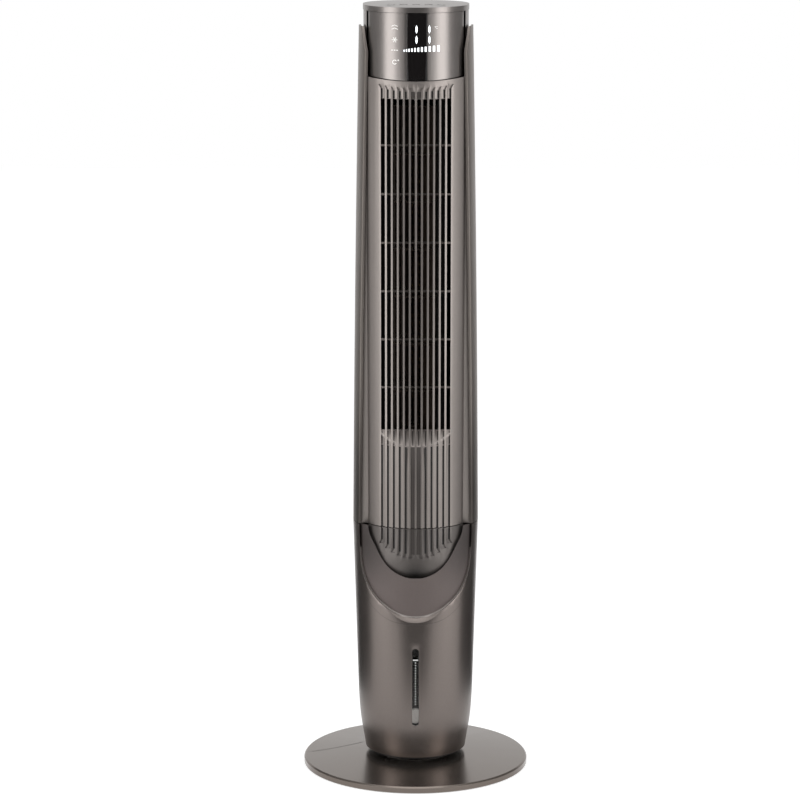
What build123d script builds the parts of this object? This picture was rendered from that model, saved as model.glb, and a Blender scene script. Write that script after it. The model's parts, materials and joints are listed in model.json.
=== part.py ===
"""Tower fan with a water tank: an evaporative tower cooler on a round swivelling base.

Frame: millimetres, +Z up, front faces -Y, origin under the centre of the base.
"""
import os
from math import cos, pi, sin, sqrt

from build123d import *

# ---------------------------------------------------------------- driving dimensions
CLEAR = 0.3                # gap between pieces that don't touch
RUN = 0.05                 # radial running clearance of a shaft or spigot

# base
BASE_RADIUS = 159.0
BASE_RIM_TOP = 10.0
BASE_HUB_TOP = 17.0
BASE_SKIN = 3.0
BASE_HUB_RADIUS = 62.0     # where the cone of the base meets its flat middle
BASE_BORE = 48.0
FOOT_HEIGHT = 2.4
FOOT_RADIUS = 9.0
FOOT_CIRCLE = 138.0
FOOT_COUNT = 6
FOOT_START = 20.0
FOOT_BOSS_TOP = 9.8        # inside the sloping skin of the base all the way round
RIM_CHAMFER = 2.0
RIM_LIFT = 1.2             # the rim hangs this far above the floor
HUB_FLANGE_BOTTOM = 2.2
HUB_FLANGE = 2.5
HUB_FLANGE_RADIUS = 60.0
HUB_SCREW_CIRCLE = 55.0
HUB_SCREW_COUNT = 6
HUB_SCREW_START = 0.0
HUB_BOSS_RADIUS = 4.6      # wide enough to grow into the hub wall
SCREW_RADIUS = 1.5
SCREW_HEAD_RADIUS = 3.0
SCREW_HEAD_HEIGHT = 2.0
SCREW_LENGTH = 8.0

# swivel
HUB_FLOOR_BOTTOM = 6.0
HUB_FLOOR = 3.0
HUB_TOP = 20.0
GEAR_PITCH_RADIUS = 40.0
GEAR_TEETH = 50
PINION_TEETH = 10
GEAR_BACKLASH = 0.5
SPIGOT_RADIUS = 21.0
SPIGOT_BORE = 14.0
WASHER_THICKNESS = 1.5
RETAINER_RADIUS = 30.0
RETAINER_THICKNESS = 2.5
TURNTABLE_THICKNESS = 6.0
SWIVEL_MOTOR_RADIUS = 24.0
SWIVEL_MOTOR_HEIGHT = 20.0
SWIVEL_MOTOR_COLLAR = 6.0
FOOT_SCREW_CIRCLE = 58.0
MOTOR_SHAFT_RADIUS = 3.0

# tower shells
WALL = 4.0                 # lower housing
SKIN = 3.0                 # upper shells
TOWER_BOTTOM = 25.0
SEAM_Z = 358.0
SEAM_GAP = 1.2             # open line of the waist seam
BOTTOM_HALF_WIDTH = 70.8
SEAM_HALF_WIDTH = 88.0
TIP_HALF_WIDTH = 78.5
TIP_Z = 1050.0
UPPER_BOW = 1.05           # the sides of the upper shells swell this much
FRONT_FULLNESS = 3.0       # how much deeper than wide the lower housing is
SQUARENESS = 2.5           # superellipse exponent of the upper sections
SHELL_FRONT_Y = -48.5      # front edges of the side panels
SHELL_REAR_Y = 30.0        # joint of the side panels with the rear shell
SHOULDER_Z = 1010.0        # top of the rear shell, foot of the slanted rear edges
TIP_FOOT_Z = 1018.0        # foot of the slanted front edges
TIP_FRONT_Y = -36.0        # the front edges slant back to here at the tips
TIP_REAR_Y = 0.0
SHELL_SCREW_X = 30.0
SCREW_SEAT = 0.9           # how far the screw heads stand off the rounded shell

# front drum
SHOULDER_FRONT_Y = -45.0
SHOULDER_BACK_Y = -42.5
DRUM_RADIUS = 81.0
DRUM_SKIN = 2.5
DRUM_HALF_WIDTH_LOW = 66.0
DRUM_HALF_WIDTH_HIGH = 68.5
DRUM_TOP_CENTRE = 979.0
DRUM_TOP_EDGE = 983.0
NOSE_BOTTOM = 275.0
NOSE_TUCK_START = 312.0
NOSE_TUCK = 13.0

# outlet grille
OPENING_BOTTOM = 475.0
OPENING_TOP = 955.0
SILL_RISE = 21.0
SLOT_COUNT = 12
SLOT_PITCH = 8.2
SLOT_WIDTH = 5.6
GROOVE_DEPTH = 1.8
GROOVE_LOW_CENTRE = 316.0
GROOVE_LOW_RISE = 19.0
GROOVE_HIGH_CENTRE = 970.5
GROOVE_HIGH_RISE = 3.5
GROOVE_HOOK = 3.0
GROOVE_HOOK_HEIGHT = 5.0
RIB_BACK_Y = -62.0
CROSSBAR_COUNT = 6
CROSSBAR_TOP = 891.0
CROSSBAR_PITCH = 67.0
CROSSBAR_HEIGHT = 2.6

# bib
BIB_HALF_WIDTH = 92.0
BIB_DEPTH = 82.0
BIB_SKIN = 3.0
BIB_BOTTOM = 232.0
BIB_TOP_INSET = 9.5        # how far the bib's sides stay inside the waist seam's width
BIB_SIDE = ((77.5, 328.0), (74.6, 297.0), (67.5, 275.0), (57.0, 259.0), (45.0, 248.5),
            (30.0, 239.0), (15.5, 233.6))
BIB_CENTRE_Z = 330.0       # its outline grows away from this height on the middle line
BIB_BEVEL_START = 81.0     # depth at which the bevel of its seat begins
BIB_BEVEL_END = 91.0
BIB_BEVEL_WIDTH = 11.0
WAIST_RIM = 12.0           # reach of the waist spigot above and below the seam
WAIST_RIM_WALL = 2.5
SEAT_LIP = 10.0            # wall thickness around the bib's seat
COLLAR_BOTTOM = 287.6
COLLAR_SIDE = ((56.8, 332.0), (50.5, 319.6), (38.7, 303.2), (27.6, 294.7), (14.0, 289.0))

# level window
WINDOW_WIDTH = 9.4
WINDOW_BOTTOM = 74.0
WINDOW_TOP = 188.0

# tank drawer
BAY_FLOOR_Z = 60.0
BAY_FLOOR = 3.0
BAY_TOP = 268.0
BAY_HALF_WIDTH = 61.0
TANK_HALF_WIDTH = 58.0
TANK_FRONT_Y = -70.0
TANK_REAR_Y = 50.0
TANK_BOTTOM = 64.0
TANK_TOP = 262.0
TANK_WALL = 2.5
TANK_FRONT_CORNER = 40.0
TANK_REAR_CORNER = 8.0
DOOR_WALL = 3.0
PUMP_WIDTH = 34.0
PUMP_DEPTH = 40.0
PUMP_HEIGHT = 34.0
PUMP_X = 36.0
PUMP_Y = 22.0
FLOAT_WIDTH = 8.0
FLOAT_DEPTH = 6.0
FLOAT_HEIGHT = 21.0
FLOAT_BOTTOM = 74.5
GRIP_HALF_WIDTH = 42.0
GRIP_BOTTOM = 196.0
GRIP_TOP = 232.0
GRIP_DEPTH = 22.0

# mains inlet
GLAND_X = 0.0
GLAND_Z = 44.0
GLAND_RADIUS = 7.0
GLAND_LENGTH = 14.0

# blower
FAN_Y = -12.0
IMPELLER_RADIUS = 46.0
IMPELLER_BOTTOM = 482.0
IMPELLER_TOP = 944.0
IMPELLER_STAGES = 7
BLADE_COUNT = 24
BLADE_CHORD = 11.0
BLADE_THICKNESS = 1.2
BLADE_TILT = 32.0
DISC_THICKNESS = 2.0
SHAFT_RADIUS = 4.0
PLATE_THICKNESS = 6.0
MOTOR_PLATE_Z = 468.0
TOP_PLATE_Z = 959.0
TONGUE_HALF_WIDTH = 46.0
MOTOR_RADIUS = 38.0
MOTOR_SCREW_CIRCLE = 28.0
BEARING_RADIUS = 9.0
IMPELLER_HUB_HEIGHT = 12.0
MOTOR_HEIGHT = 44.0
TRAY_Z = 300.0
TRAY_FRONT_Y = -36.0
TRAY_THICKNESS = 3.0
TRAY_WALL_HEIGHT = 14.0
TUBE_RADIUS = 5.0
TUBE_BORE = 3.4
TUBE_X = 42.0
TUBE_Y = 20.0
ARM_HALF_WIDTH = 7.0

# rear intake
INTAKE_HALF_WIDTH = 52.0
INTAKE_BOTTOM = 486.0
INTAKE_TOP = 946.0
PAD_HALF_WIDTH = 45.0
PAD_FRONT_Y = 42.0
PAD_REAR_Y = 61.0
FRAME_WALL = 2.5
FILTER_THICKNESS = 1.5

LOUVRE_WIDTH = 20.0
LOUVRE_HEIGHT = 6.0
LOUVRE_PITCH = 14.0
LOUVRE_COLUMNS = 4
LOUVRE_ROWS = 32

# boards
BOARD_LEFT = -36.0
BOARD_RIGHT = 26.0
BOARD_HALF_DEPTH = 20.0
BOARD_Y = 6.0
BOARD_Z = 310.0
BOARD_THICKNESS = 1.6

# head
HEAD_SEAM = 1.0            # gap between the head and the drum
LEDGE_BACK_Y = -20.0
LEDGE_HALF_GAP = 56.0
DISPLAY_HALF_WIDTH = 24.0
DISPLAY_BOTTOM = 1000.0
DISPLAY_TOP = 1060.0
DISPLAY_Y = -71.0
DISPLAY_POST = 6.0
LIT_HALF_WIDTH = 10.0
LAMP_DEPTH = 4.0
HEAD_HALF_WIDTH = 72.2
HEAD_FRONT = 81.0
HEAD_BACK = 70.0
HEAD_SQUARENESS = 2.2
HEAD_TOP = 1071.0
TOTAL_HEIGHT = 1080.0
CAP_RIM_TOP = 1078.6
PANEL_HALF_WIDTH = 64.6
PANEL_SLOT = 2.6
GLASS_WIDTH = 27.0
GLASS_X = 1.4
GLASS_THICKNESS = 1.2
BUTTON_COUNT = 5
BUTTON_PITCH = 17.0
BUTTON_RADIUS = 5.5
BUTTON_Y = -44.0
BUTTON_TRAVEL = 1.0
BUTTON_TOP = 1079.6
BUTTON_FLANGE = 2.0
CAP_OVERHANG = 0.7
CAP_CEILING = 1076.0
CAP_DOME_INSET = 34.0
CONTROL_BOARD_Z = 1066.0
CONTROL_HALF_WIDTH = 44.0
CONTROL_HALF_DEPTH = 12.0
SWITCH_SIZE = 6.0

ALL = 200.0                # longer than anything it cuts across
U_TOP = SEAM_Z + 20        # the U-shaped cuts are open past the waist seam
HUB_WALL_BOTTOM = HUB_FLANGE_BOTTOM + HUB_FLANGE + CLEAR
float_front = TANK_FRONT_Y + TANK_WALL + CLEAR
turntable_top = HUB_TOP + WASHER_THICKNESS + CLEAR + TURNTABLE_THICKNESS


# ---------------------------------------------------------------- shared shapes
def section_points(half_width, front, back, squareness, count=32):
    """Points of a superellipse whose front and back may be unequally deep."""
    points = []
    for step in range(count):
        angle = 2 * pi * step / count
        c, s = cos(angle), sin(angle)
        x = half_width * abs(c) ** (2 / squareness) * (1 if c >= 0 else -1)
        depth = back if s >= 0 else front
        y = depth * abs(s) ** (2 / squareness) * (1 if s >= 0 else -1)
        points.append((x, y))
    return points


def upper_half_width(z):
    """Half-width of the tower above the waist seam."""
    t = (z - SEAM_Z) / (TIP_Z - SEAM_Z)
    straight = SEAM_HALF_WIDTH + (TIP_HALF_WIDTH - SEAM_HALF_WIDTH) * t
    return straight + 4 * UPPER_BOW * t * (1 - t)


def lower_half_width(z):
    """Half-width of the lower housing, which tucks in towards its foot."""
    tuck_top = TOWER_BOTTOM + 93
    slope = 0.0293
    width = SEAM_HALF_WIDTH - (SEAM_Z - z) * slope
    foot_width = SEAM_HALF_WIDTH - (SEAM_Z - TOWER_BOTTOM) * slope
    if z < tuck_top:
        depth = (tuck_top - z) / (tuck_top - TOWER_BOTTOM)
        width -= (foot_width - BOTTOM_HALF_WIDTH) * depth ** 2.2
    return width


def upper_body(inset, bottom, top, stations=5):
    """Solid inside the upper shells, inset by a wall."""
    with BuildPart() as body:
        for step in range(stations):
            z = bottom + (top - bottom) * step / (stations - 1)
            half = upper_half_width(z) - inset
            with BuildSketch(Plane.XY.offset(z)):
                with BuildLine():
                    Spline(*section_points(half, half, half, SQUARENESS), periodic=True)
                make_face()
        loft()
    return body.part


def lower_body(inset, bottom, top, stations=10):
    """Solid inside the lower housing, inset by a wall."""
    with BuildPart() as body:
        for step in range(stations):
            z = bottom + (top - bottom) * step / (stations - 1)
            rise = (z - TOWER_BOTTOM) / (SEAM_Z - TOWER_BOTTOM)
            half = lower_half_width(z) - inset
            deep = half + FRONT_FULLNESS * max(0.0, sin(pi * rise))
            squareness = 2 + (SQUARENESS - 2) * rise
            with BuildSketch(Plane.XY.offset(z)):
                with BuildLine():
                    Spline(*section_points(half, deep, deep, squareness), periodic=True)
                make_face()
        loft()
    return body.part


def head_body(inset, bottom, top):
    """Solid of the head's section, inset by a wall."""
    with BuildPart() as body:
        with BuildSketch(Plane.XY.offset(bottom)):
            with BuildLine():
                Spline(*section_points(HEAD_HALF_WIDTH - inset, HEAD_FRONT - inset,
                                       HEAD_BACK - inset, HEAD_SQUARENESS), periodic=True)
            make_face()
        extrude(amount=top - bottom)
    return body.part


def block(x0, x1, y0, y1, z0, z1, mode=Mode.ADD):
    """A box between two corners."""
    with Locations(((x0 + x1) / 2, (y0 + y1) / 2, (z0 + z1) / 2)):
        Box(x1 - x0, y1 - y0, z1 - z0, mode=mode)


def post(x, y, z0, z1, radius, mode=Mode.ADD):
    """An upright cylinder between two heights."""
    with Locations((x, y, (z0 + z1) / 2)):
        Cylinder(radius, z1 - z0, mode=mode)


def u_face(half_width, side_points, bottom, forward=0.0):
    """U-shaped face in an upright plane facing the front, with its open end at the top."""
    with BuildSketch(Plane.XZ.offset(forward)) as face:
        with BuildLine():
            side = Spline((half_width, SEAM_Z), *side_points, (0, bottom),
                          tangents=((0, -1), (-1, 0)))
            mirror(side, about=Plane.YZ)
            Polyline((half_width, SEAM_Z), (half_width, U_TOP), (-half_width, U_TOP),
                     (-half_width, SEAM_Z))
        make_face()
    return face.sketch


def save(piece, name):
    """Label a finished piece and write its STEP file."""
    piece.label = name
    export_step(piece, f"parts/{name}.step")
    print(name, round(piece.volume / 1000, 1), "cm3")


os.makedirs("parts", exist_ok=True)

# ---------------------------------------------------------------- base
with BuildPart() as base_shell:
    with BuildSketch(Plane.XZ):
        with BuildLine():
            Polyline(
                (BASE_BORE, HUB_WALL_BOTTOM), (BASE_BORE + BASE_SKIN, HUB_WALL_BOTTOM),
                (BASE_BORE + BASE_SKIN, BASE_HUB_TOP - BASE_SKIN),
                (BASE_HUB_RADIUS, BASE_HUB_TOP - BASE_SKIN),
                (BASE_RADIUS - BASE_SKIN, BASE_RIM_TOP - BASE_SKIN),
                (BASE_RADIUS - BASE_SKIN, RIM_LIFT), (BASE_RADIUS, RIM_LIFT),
                (BASE_RADIUS, BASE_RIM_TOP - RIM_CHAMFER),
                (BASE_RADIUS - RIM_CHAMFER, BASE_RIM_TOP),
                (BASE_HUB_RADIUS, BASE_HUB_TOP), (BASE_BORE, BASE_HUB_TOP), close=True)
        make_face()
    revolve(axis=Axis.Z)
    # ribs under the skin, from the hub wall to the rim
    for rib in range(12):
        with BuildSketch(Plane.XZ.rotated((0, 0, 15 + 30 * rib))):
            with BuildLine():
                Polyline(
                    (BASE_BORE + 1, HUB_WALL_BOTTOM), (BASE_HUB_RADIUS, HUB_WALL_BOTTOM),
                    (BASE_HUB_RADIUS + 3, RIM_LIFT + 1), (BASE_RADIUS - 1, RIM_LIFT + 1),
                    (BASE_RADIUS - 1, BASE_RIM_TOP - BASE_SKIN),
                    (BASE_HUB_RADIUS, BASE_HUB_TOP - BASE_SKIN + 1),
                    (BASE_BORE + 1, BASE_HUB_TOP - BASE_SKIN + 1), close=True)
            make_face()
        extrude(amount=1, both=True)
    # bosses that the rubber feet are glued to
    with PolarLocations(FOOT_CIRCLE, FOOT_COUNT, start_angle=FOOT_START):
        with Locations((0, 0, (FOOT_HEIGHT + FOOT_BOSS_TOP) / 2)):
            Cylinder(FOOT_RADIUS + 1.5, FOOT_BOSS_TOP - FOOT_HEIGHT)
    # bosses for the hub screws
    with PolarLocations(HUB_SCREW_CIRCLE, HUB_SCREW_COUNT, start_angle=HUB_SCREW_START):
        with Locations((0, 0, (HUB_WALL_BOTTOM + BASE_HUB_TOP - 1) / 2)):
            Cylinder(HUB_BOSS_RADIUS, BASE_HUB_TOP - 1 - HUB_WALL_BOTTOM)
    with PolarLocations(HUB_SCREW_CIRCLE, HUB_SCREW_COUNT, start_angle=HUB_SCREW_START):
        with Locations((0, 0, HUB_WALL_BOTTOM + SCREW_LENGTH / 2)):
            Cylinder(SCREW_RADIUS + RUN, SCREW_LENGTH, mode=Mode.SUBTRACT)

seam_reach = BASE_RADIUS + 20


def base_front_space(offset):
    """Everything in front of the curved seam of the base, moved back by offset."""
    with BuildPart() as space:
        with BuildSketch(Plane.XY.offset(-1)):
            with BuildLine():
                Spline((-seam_reach, 7 + offset), (-131, 10 + offset), (-100, 22 + offset),
                       (-74, 37 + offset), (-35, 38 + offset), (30, 34 + offset),
                       (62 - offset, 95), (68 - offset, seam_reach))
                Polyline((68 - offset, seam_reach), (seam_reach, seam_reach),
                         (seam_reach, -seam_reach), (-seam_reach, -seam_reach),
                         (-seam_reach, 7 + offset))
            make_face()
        extrude(amount=ALL / 5)
    return space.part


with BuildPart() as base_front:
    add(base_shell.part)
    add(base_front_space(-CLEAR / 2), mode=Mode.INTERSECT)
with BuildPart() as base_rear:
    add(base_shell.part)
    add(base_front_space(CLEAR / 2), mode=Mode.SUBTRACT)

with BuildPart() as base_feet:
    with PolarLocations(FOOT_CIRCLE, FOOT_COUNT, start_angle=FOOT_START):
        with Locations((0, 0, FOOT_HEIGHT / 2)):
            Cylinder(FOOT_RADIUS, FOOT_HEIGHT)
    chamfer(base_feet.faces().sort_by(Axis.Z)[0:FOOT_COUNT].edges(), 0.6)

save(base_front.part, "base_front")
save(base_rear.part, "base_rear")
save(base_feet.part, "base_feet")

# ---------------------------------------------------------------- swivel
gear_module = 2 * GEAR_PITCH_RADIUS / GEAR_TEETH
pinion_pitch_radius = gear_module * PINION_TEETH / 2
pinion_offset = GEAR_PITCH_RADIUS - pinion_pitch_radius
tooth_root = gear_module * 1.15
tooth_tip = gear_module * 0.8
gear_bottom = HUB_FLOOR_BOTTOM + HUB_FLOOR
hub_radius = BASE_BORE - CLEAR
hub_ring_bore = RETAINER_RADIUS + 3


def tooth(pitch_radius, sign):
    """Tapered tooth on the X axis; sign is +1 on a pinion and -1 inside a ring."""
    half = pi * gear_module / 4 - GEAR_BACKLASH / 2
    with BuildSketch() as profile:
        with BuildLine():
            Polyline((pitch_radius - sign * (tooth_root + 0.6), half + 0.75),
                     (pitch_radius + sign * tooth_tip, half - 0.42),
                     (pitch_radius + sign * tooth_tip, -half + 0.42),
                     (pitch_radius - sign * (tooth_root + 0.6), -half - 0.75), close=True)
        make_face()
    return profile.sketch


with BuildPart() as base_hub:
    with BuildSketch(Plane.XY.offset(HUB_FLOOR_BOTTOM)):
        Circle(hub_radius)
        Circle(SPIGOT_RADIUS + RUN, mode=Mode.SUBTRACT)
    extrude(amount=HUB_FLOOR)
    with BuildSketch(Plane.XY.offset(gear_bottom)):
        Circle(hub_radius)
        Circle(GEAR_PITCH_RADIUS + tooth_root, mode=Mode.SUBTRACT)
    extrude(amount=HUB_TOP - gear_bottom)
    with BuildSketch(Plane.XY.offset(gear_bottom)):
        with PolarLocations(0, GEAR_TEETH):
            add(tooth(GEAR_PITCH_RADIUS, -1))
    extrude(amount=HUB_TOP - 2 - gear_bottom)
    # flange under the base halves, and the ring that joins it to the hub
    with BuildSketch(Plane.XY.offset(HUB_FLANGE_BOTTOM)):
        Circle(hub_radius)
        Circle(hub_ring_bore, mode=Mode.SUBTRACT)
    extrude(amount=gear_bottom - HUB_FLANGE_BOTTOM)
    with BuildSketch(Plane.XY.offset(HUB_FLANGE_BOTTOM)):
        Circle(HUB_FLANGE_RADIUS)
        Circle(hub_radius - 1, mode=Mode.SUBTRACT)
        with PolarLocations(HUB_SCREW_CIRCLE, HUB_SCREW_COUNT, start_angle=HUB_SCREW_START):
            Circle(SCREW_RADIUS + CLEAR, mode=Mode.SUBTRACT)
    extrude(amount=HUB_FLANGE)

with BuildPart() as base_screws:
    with PolarLocations(HUB_SCREW_CIRCLE, HUB_SCREW_COUNT, start_angle=HUB_SCREW_START):
        with Locations((0, 0, HUB_FLANGE_BOTTOM - SCREW_HEAD_HEIGHT / 2)):
            Cylinder(SCREW_HEAD_RADIUS, SCREW_HEAD_HEIGHT)
        with Locations((0, 0, HUB_FLANGE_BOTTOM + SCREW_LENGTH / 2)):
            Cylinder(SCREW_RADIUS, SCREW_LENGTH)
    chamfer(base_screws.faces().sort_by(Axis.Z)[0:HUB_SCREW_COUNT].edges(), 0.5)

washer_bottom = HUB_TOP
washer_top = washer_bottom + WASHER_THICKNESS
turntable_bottom = washer_top + CLEAR
with BuildPart() as swivel_washer:
    with BuildSketch(Plane.XY.offset(washer_bottom)):
        Circle(hub_radius)
        Circle(GEAR_PITCH_RADIUS + tooth_root, mode=Mode.SUBTRACT)
    extrude(amount=WASHER_THICKNESS)

# the turntable is the floor of the tower; its spigot turns in the hub
retainer_top = HUB_FLOOR_BOTTOM - CLEAR
turntable_radius = BOTTOM_HALF_WIDTH - WALL - CLEAR
with BuildPart() as turntable:
    post(0, 0, turntable_bottom, turntable_top, turntable_radius)
    post(0, 0, retainer_top, turntable_bottom, SPIGOT_RADIUS)
    post(0, 0, 0, ALL, SPIGOT_BORE, mode=Mode.SUBTRACT)
    post(0, pinion_offset, 0, ALL, SWIVEL_MOTOR_COLLAR + CLEAR, mode=Mode.SUBTRACT)
    with PolarLocations(FOOT_SCREW_CIRCLE, 4, start_angle=45):
        with Locations((0, 0, turntable_bottom)):
            Cylinder(SCREW_RADIUS + CLEAR, ALL / 4, mode=Mode.SUBTRACT)
            Cylinder(SCREW_HEAD_RADIUS + CLEAR, 2 * SCREW_HEAD_HEIGHT, mode=Mode.SUBTRACT)
    with PolarLocations((SPIGOT_RADIUS + SPIGOT_BORE) / 2, 3):
        with Locations((0, 0, retainer_top + SCREW_LENGTH / 2)):
            Cylinder(SCREW_RADIUS - 0.25 + RUN, SCREW_LENGTH, mode=Mode.SUBTRACT)

with BuildPart() as swivel_retainer:
    post(0, 0, retainer_top - RETAINER_THICKNESS, retainer_top, RETAINER_RADIUS)
    post(0, 0, 0, ALL, SPIGOT_BORE, mode=Mode.SUBTRACT)
    with PolarLocations((SPIGOT_RADIUS + SPIGOT_BORE) / 2, 3):
        with Locations((0, 0, retainer_top)):
            Cylinder(SCREW_RADIUS - 0.25 + CLEAR, ALL / 4, mode=Mode.SUBTRACT)

retainer_bottom = retainer_top - RETAINER_THICKNESS
with BuildPart() as retainer_screws:
    with PolarLocations((SPIGOT_RADIUS + SPIGOT_BORE) / 2, 3):
        with Locations((0, 0, retainer_bottom - SCREW_HEAD_HEIGHT / 4)):
            Cylinder(SCREW_HEAD_RADIUS - 0.4, SCREW_HEAD_HEIGHT / 2)
        with Locations((0, 0, retainer_bottom + SCREW_LENGTH / 2)):
            Cylinder(SCREW_RADIUS - 0.25, SCREW_LENGTH)

# screws up through the turntable into the lower housing
with BuildPart() as turntable_screws:
    with PolarLocations(FOOT_SCREW_CIRCLE, 4, start_angle=45):
        with Locations((0, 0, turntable_bottom + SCREW_HEAD_HEIGHT / 2)):
            Cylinder(SCREW_HEAD_RADIUS, SCREW_HEAD_HEIGHT)
        with Locations((0, 0, turntable_bottom + SCREW_LENGTH)):
            Cylinder(SCREW_RADIUS, 2 * SCREW_LENGTH)

# geared motor that turns the tower, and its pinion inside the hub's ring of teeth
with BuildPart() as swivel_motor:
    post(0, pinion_offset, turntable_top, turntable_top + SWIVEL_MOTOR_HEIGHT, SWIVEL_MOTOR_RADIUS)
    post(0, pinion_offset, turntable_bottom, turntable_top, SWIVEL_MOTOR_COLLAR)
    post(0, pinion_offset, 0, turntable_top + 8, MOTOR_SHAFT_RADIUS + RUN, mode=Mode.SUBTRACT)
    block(-SWIVEL_MOTOR_RADIUS - 5, SWIVEL_MOTOR_RADIUS + 5, pinion_offset - 4, pinion_offset + 4,
          turntable_top, turntable_top + 2)
    post(0, pinion_offset, 0, turntable_top + 8, MOTOR_SHAFT_RADIUS + RUN, mode=Mode.SUBTRACT)

with BuildPart() as swivel_pinion:
    with BuildSketch(Plane.XY.offset(gear_bottom + CLEAR)):
        with Locations((0, pinion_offset)):
            Circle(pinion_pitch_radius - tooth_root)
            with PolarLocations(0, PINION_TEETH, start_angle=90):
                add(tooth(pinion_pitch_radius, 1))
    extrude(amount=HUB_TOP - 2 - gear_bottom - CLEAR)
    post(0, pinion_offset, HUB_TOP - 4, turntable_top + 7, MOTOR_SHAFT_RADIUS)

save(base_hub.part, "base_hub")
save(base_screws.part, "base_screws")
save(swivel_washer.part, "swivel_washer")
save(turntable.part, "turntable")
save(turntable_screws.part, "turntable_screws")
save(swivel_retainer.part, "swivel_retainer")
save(retainer_screws.part, "retainer_screws")
save(swivel_motor.part, "swivel_motor")
save(swivel_pinion.part, "swivel_pinion")

# ---------------------------------------------------------------- lower housing
housing_outer = lower_body(0, TOWER_BOTTOM, SEAM_Z)
housing_inner = lower_body(WALL, TOWER_BOTTOM, SEAM_Z)


def bib_face(growth, forward=0.0, top_growth=None):
    """The bib's outline, grown all round, or by another amount at its open top."""
    side_points = []
    for x, z in BIB_SIDE:
        out = growth / sqrt(x ** 2 + (z - BIB_CENTRE_Z) ** 2)
        side_points.append((x + out * x, z + out * (z - BIB_CENTRE_Z)))
    top = SEAM_HALF_WIDTH - BIB_TOP_INSET + (growth if top_growth is None else top_growth)
    return u_face(top, side_points, BIB_BOTTOM - growth, forward)


bib_outline = bib_face(0)
bevel_back = bib_face(0, BIB_BEVEL_START)
bevel_front = bib_face(BIB_BEVEL_WIDTH, BIB_BEVEL_END)
lip_outline = bib_face(BIB_BEVEL_WIDTH, top_growth=BIB_TOP_INSET - 6)
bib_fill = bib_face(-CLEAR)
collar_outline = u_face(DRUM_HALF_WIDTH_LOW, COLLAR_SIDE, COLLAR_BOTTOM)
boss_top = BAY_FLOOR_Z

with BuildPart() as bay_floor_plate:
    add(housing_inner)
    block(-ALL, ALL, -ALL, ALL, BAY_FLOOR_Z, BAY_FLOOR_Z + BAY_FLOOR, Mode.INTERSECT)
bay_floor = bay_floor_plate.part


def window_slot(gap):
    """Upright slot of the level window, made smaller all round by a gap."""
    with BuildSketch(Plane.XZ.offset(20)) as slot:
        with Locations((0, (WINDOW_BOTTOM + WINDOW_TOP) / 2)):
            SlotOverall(WINDOW_TOP - WINDOW_BOTTOM - 2 * gap, WINDOW_WIDTH - 2 * gap, rotation=90)
    return slot.sketch


# thicker rim around the bib's seat, so that the seat can be bevelled
with BuildPart() as seat_lip:
    add(housing_outer)
    add(lower_body(SEAT_LIP, TOWER_BOTTOM, SEAM_Z), mode=Mode.SUBTRACT)
    extrude(lip_outline, amount=ALL, mode=Mode.INTERSECT)
    block(-ALL, ALL, -ALL, TRAY_FRONT_Y - 4, 0, 2 * ALL, Mode.INTERSECT)

# spigot at the waist, which the side panels and the rear shell slip over
with BuildPart() as waist_rim:
    add(upper_body(SKIN + CLEAR, SEAM_Z - WAIST_RIM, SEAM_Z + WAIST_RIM))
    add(upper_body(SKIN + CLEAR + WAIST_RIM_WALL, SEAM_Z - WAIST_RIM, SEAM_Z + WAIST_RIM),
        mode=Mode.SUBTRACT)
    block(-ALL, ALL, SHOULDER_BACK_Y + CLEAR, ALL, 0, 2 * ALL, Mode.INTERSECT)

with BuildPart() as lower_housing:
    add(housing_outer)
    add(housing_inner, mode=Mode.SUBTRACT)
    add(bay_floor)
    add(waist_rim.part)
    # doorway of the tank drawer, window slot, seat of the bib
    block(-BAY_HALF_WIDTH, BAY_HALF_WIDTH, 20, ALL, BAY_FLOOR_Z + BAY_FLOOR, BAY_TOP,
          Mode.SUBTRACT)
    extrude(window_slot(0), amount=ALL, mode=Mode.SUBTRACT)
    add(seat_lip.part)
    extrude(bib_outline, amount=ALL, mode=Mode.SUBTRACT)
    # bevel of that seat, which fades out up the sides
    loft(sections=[bevel_back, bevel_front], mode=Mode.SUBTRACT)
    # sockets for the turntable screws
    with PolarLocations(FOOT_SCREW_CIRCLE, 4, start_angle=45):
        with Locations((0, 0, (turntable_top + boss_top) / 2)):
            Cylinder(HUB_BOSS_RADIUS, boss_top - turntable_top)
    with PolarLocations(FOOT_SCREW_CIRCLE, 4, start_angle=45):
        with Locations((0, 0, turntable_top)):
            Cylinder(SCREW_RADIUS + RUN, 4 * SCREW_LENGTH, mode=Mode.SUBTRACT)
    # hole for the cord gland, low at the back
    with BuildSketch(Plane.XZ.offset(-20)):
        with Locations((GLAND_X, GLAND_Z)):
            Circle(GLAND_RADIUS + CLEAR)
    extrude(amount=-ALL, mode=Mode.SUBTRACT)
save(lower_housing.part, "lower_housing")


# ---------------------------------------------------------------- bib, nose, window
bib_back = BIB_DEPTH - BIB_SKIN
with BuildPart() as bib_panel:
    with BuildSketch(Plane.XY.offset(BIB_BOTTOM - 1)):
        Ellipse(BIB_HALF_WIDTH, BIB_DEPTH)
        Ellipse(BIB_HALF_WIDTH - BIB_SKIN, bib_back, mode=Mode.SUBTRACT)
    extrude(amount=SEAM_Z - BIB_BOTTOM + 1)
    extrude(bib_fill, amount=ALL, mode=Mode.INTERSECT)
    extrude(collar_outline, amount=ALL, mode=Mode.SUBTRACT)

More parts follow.
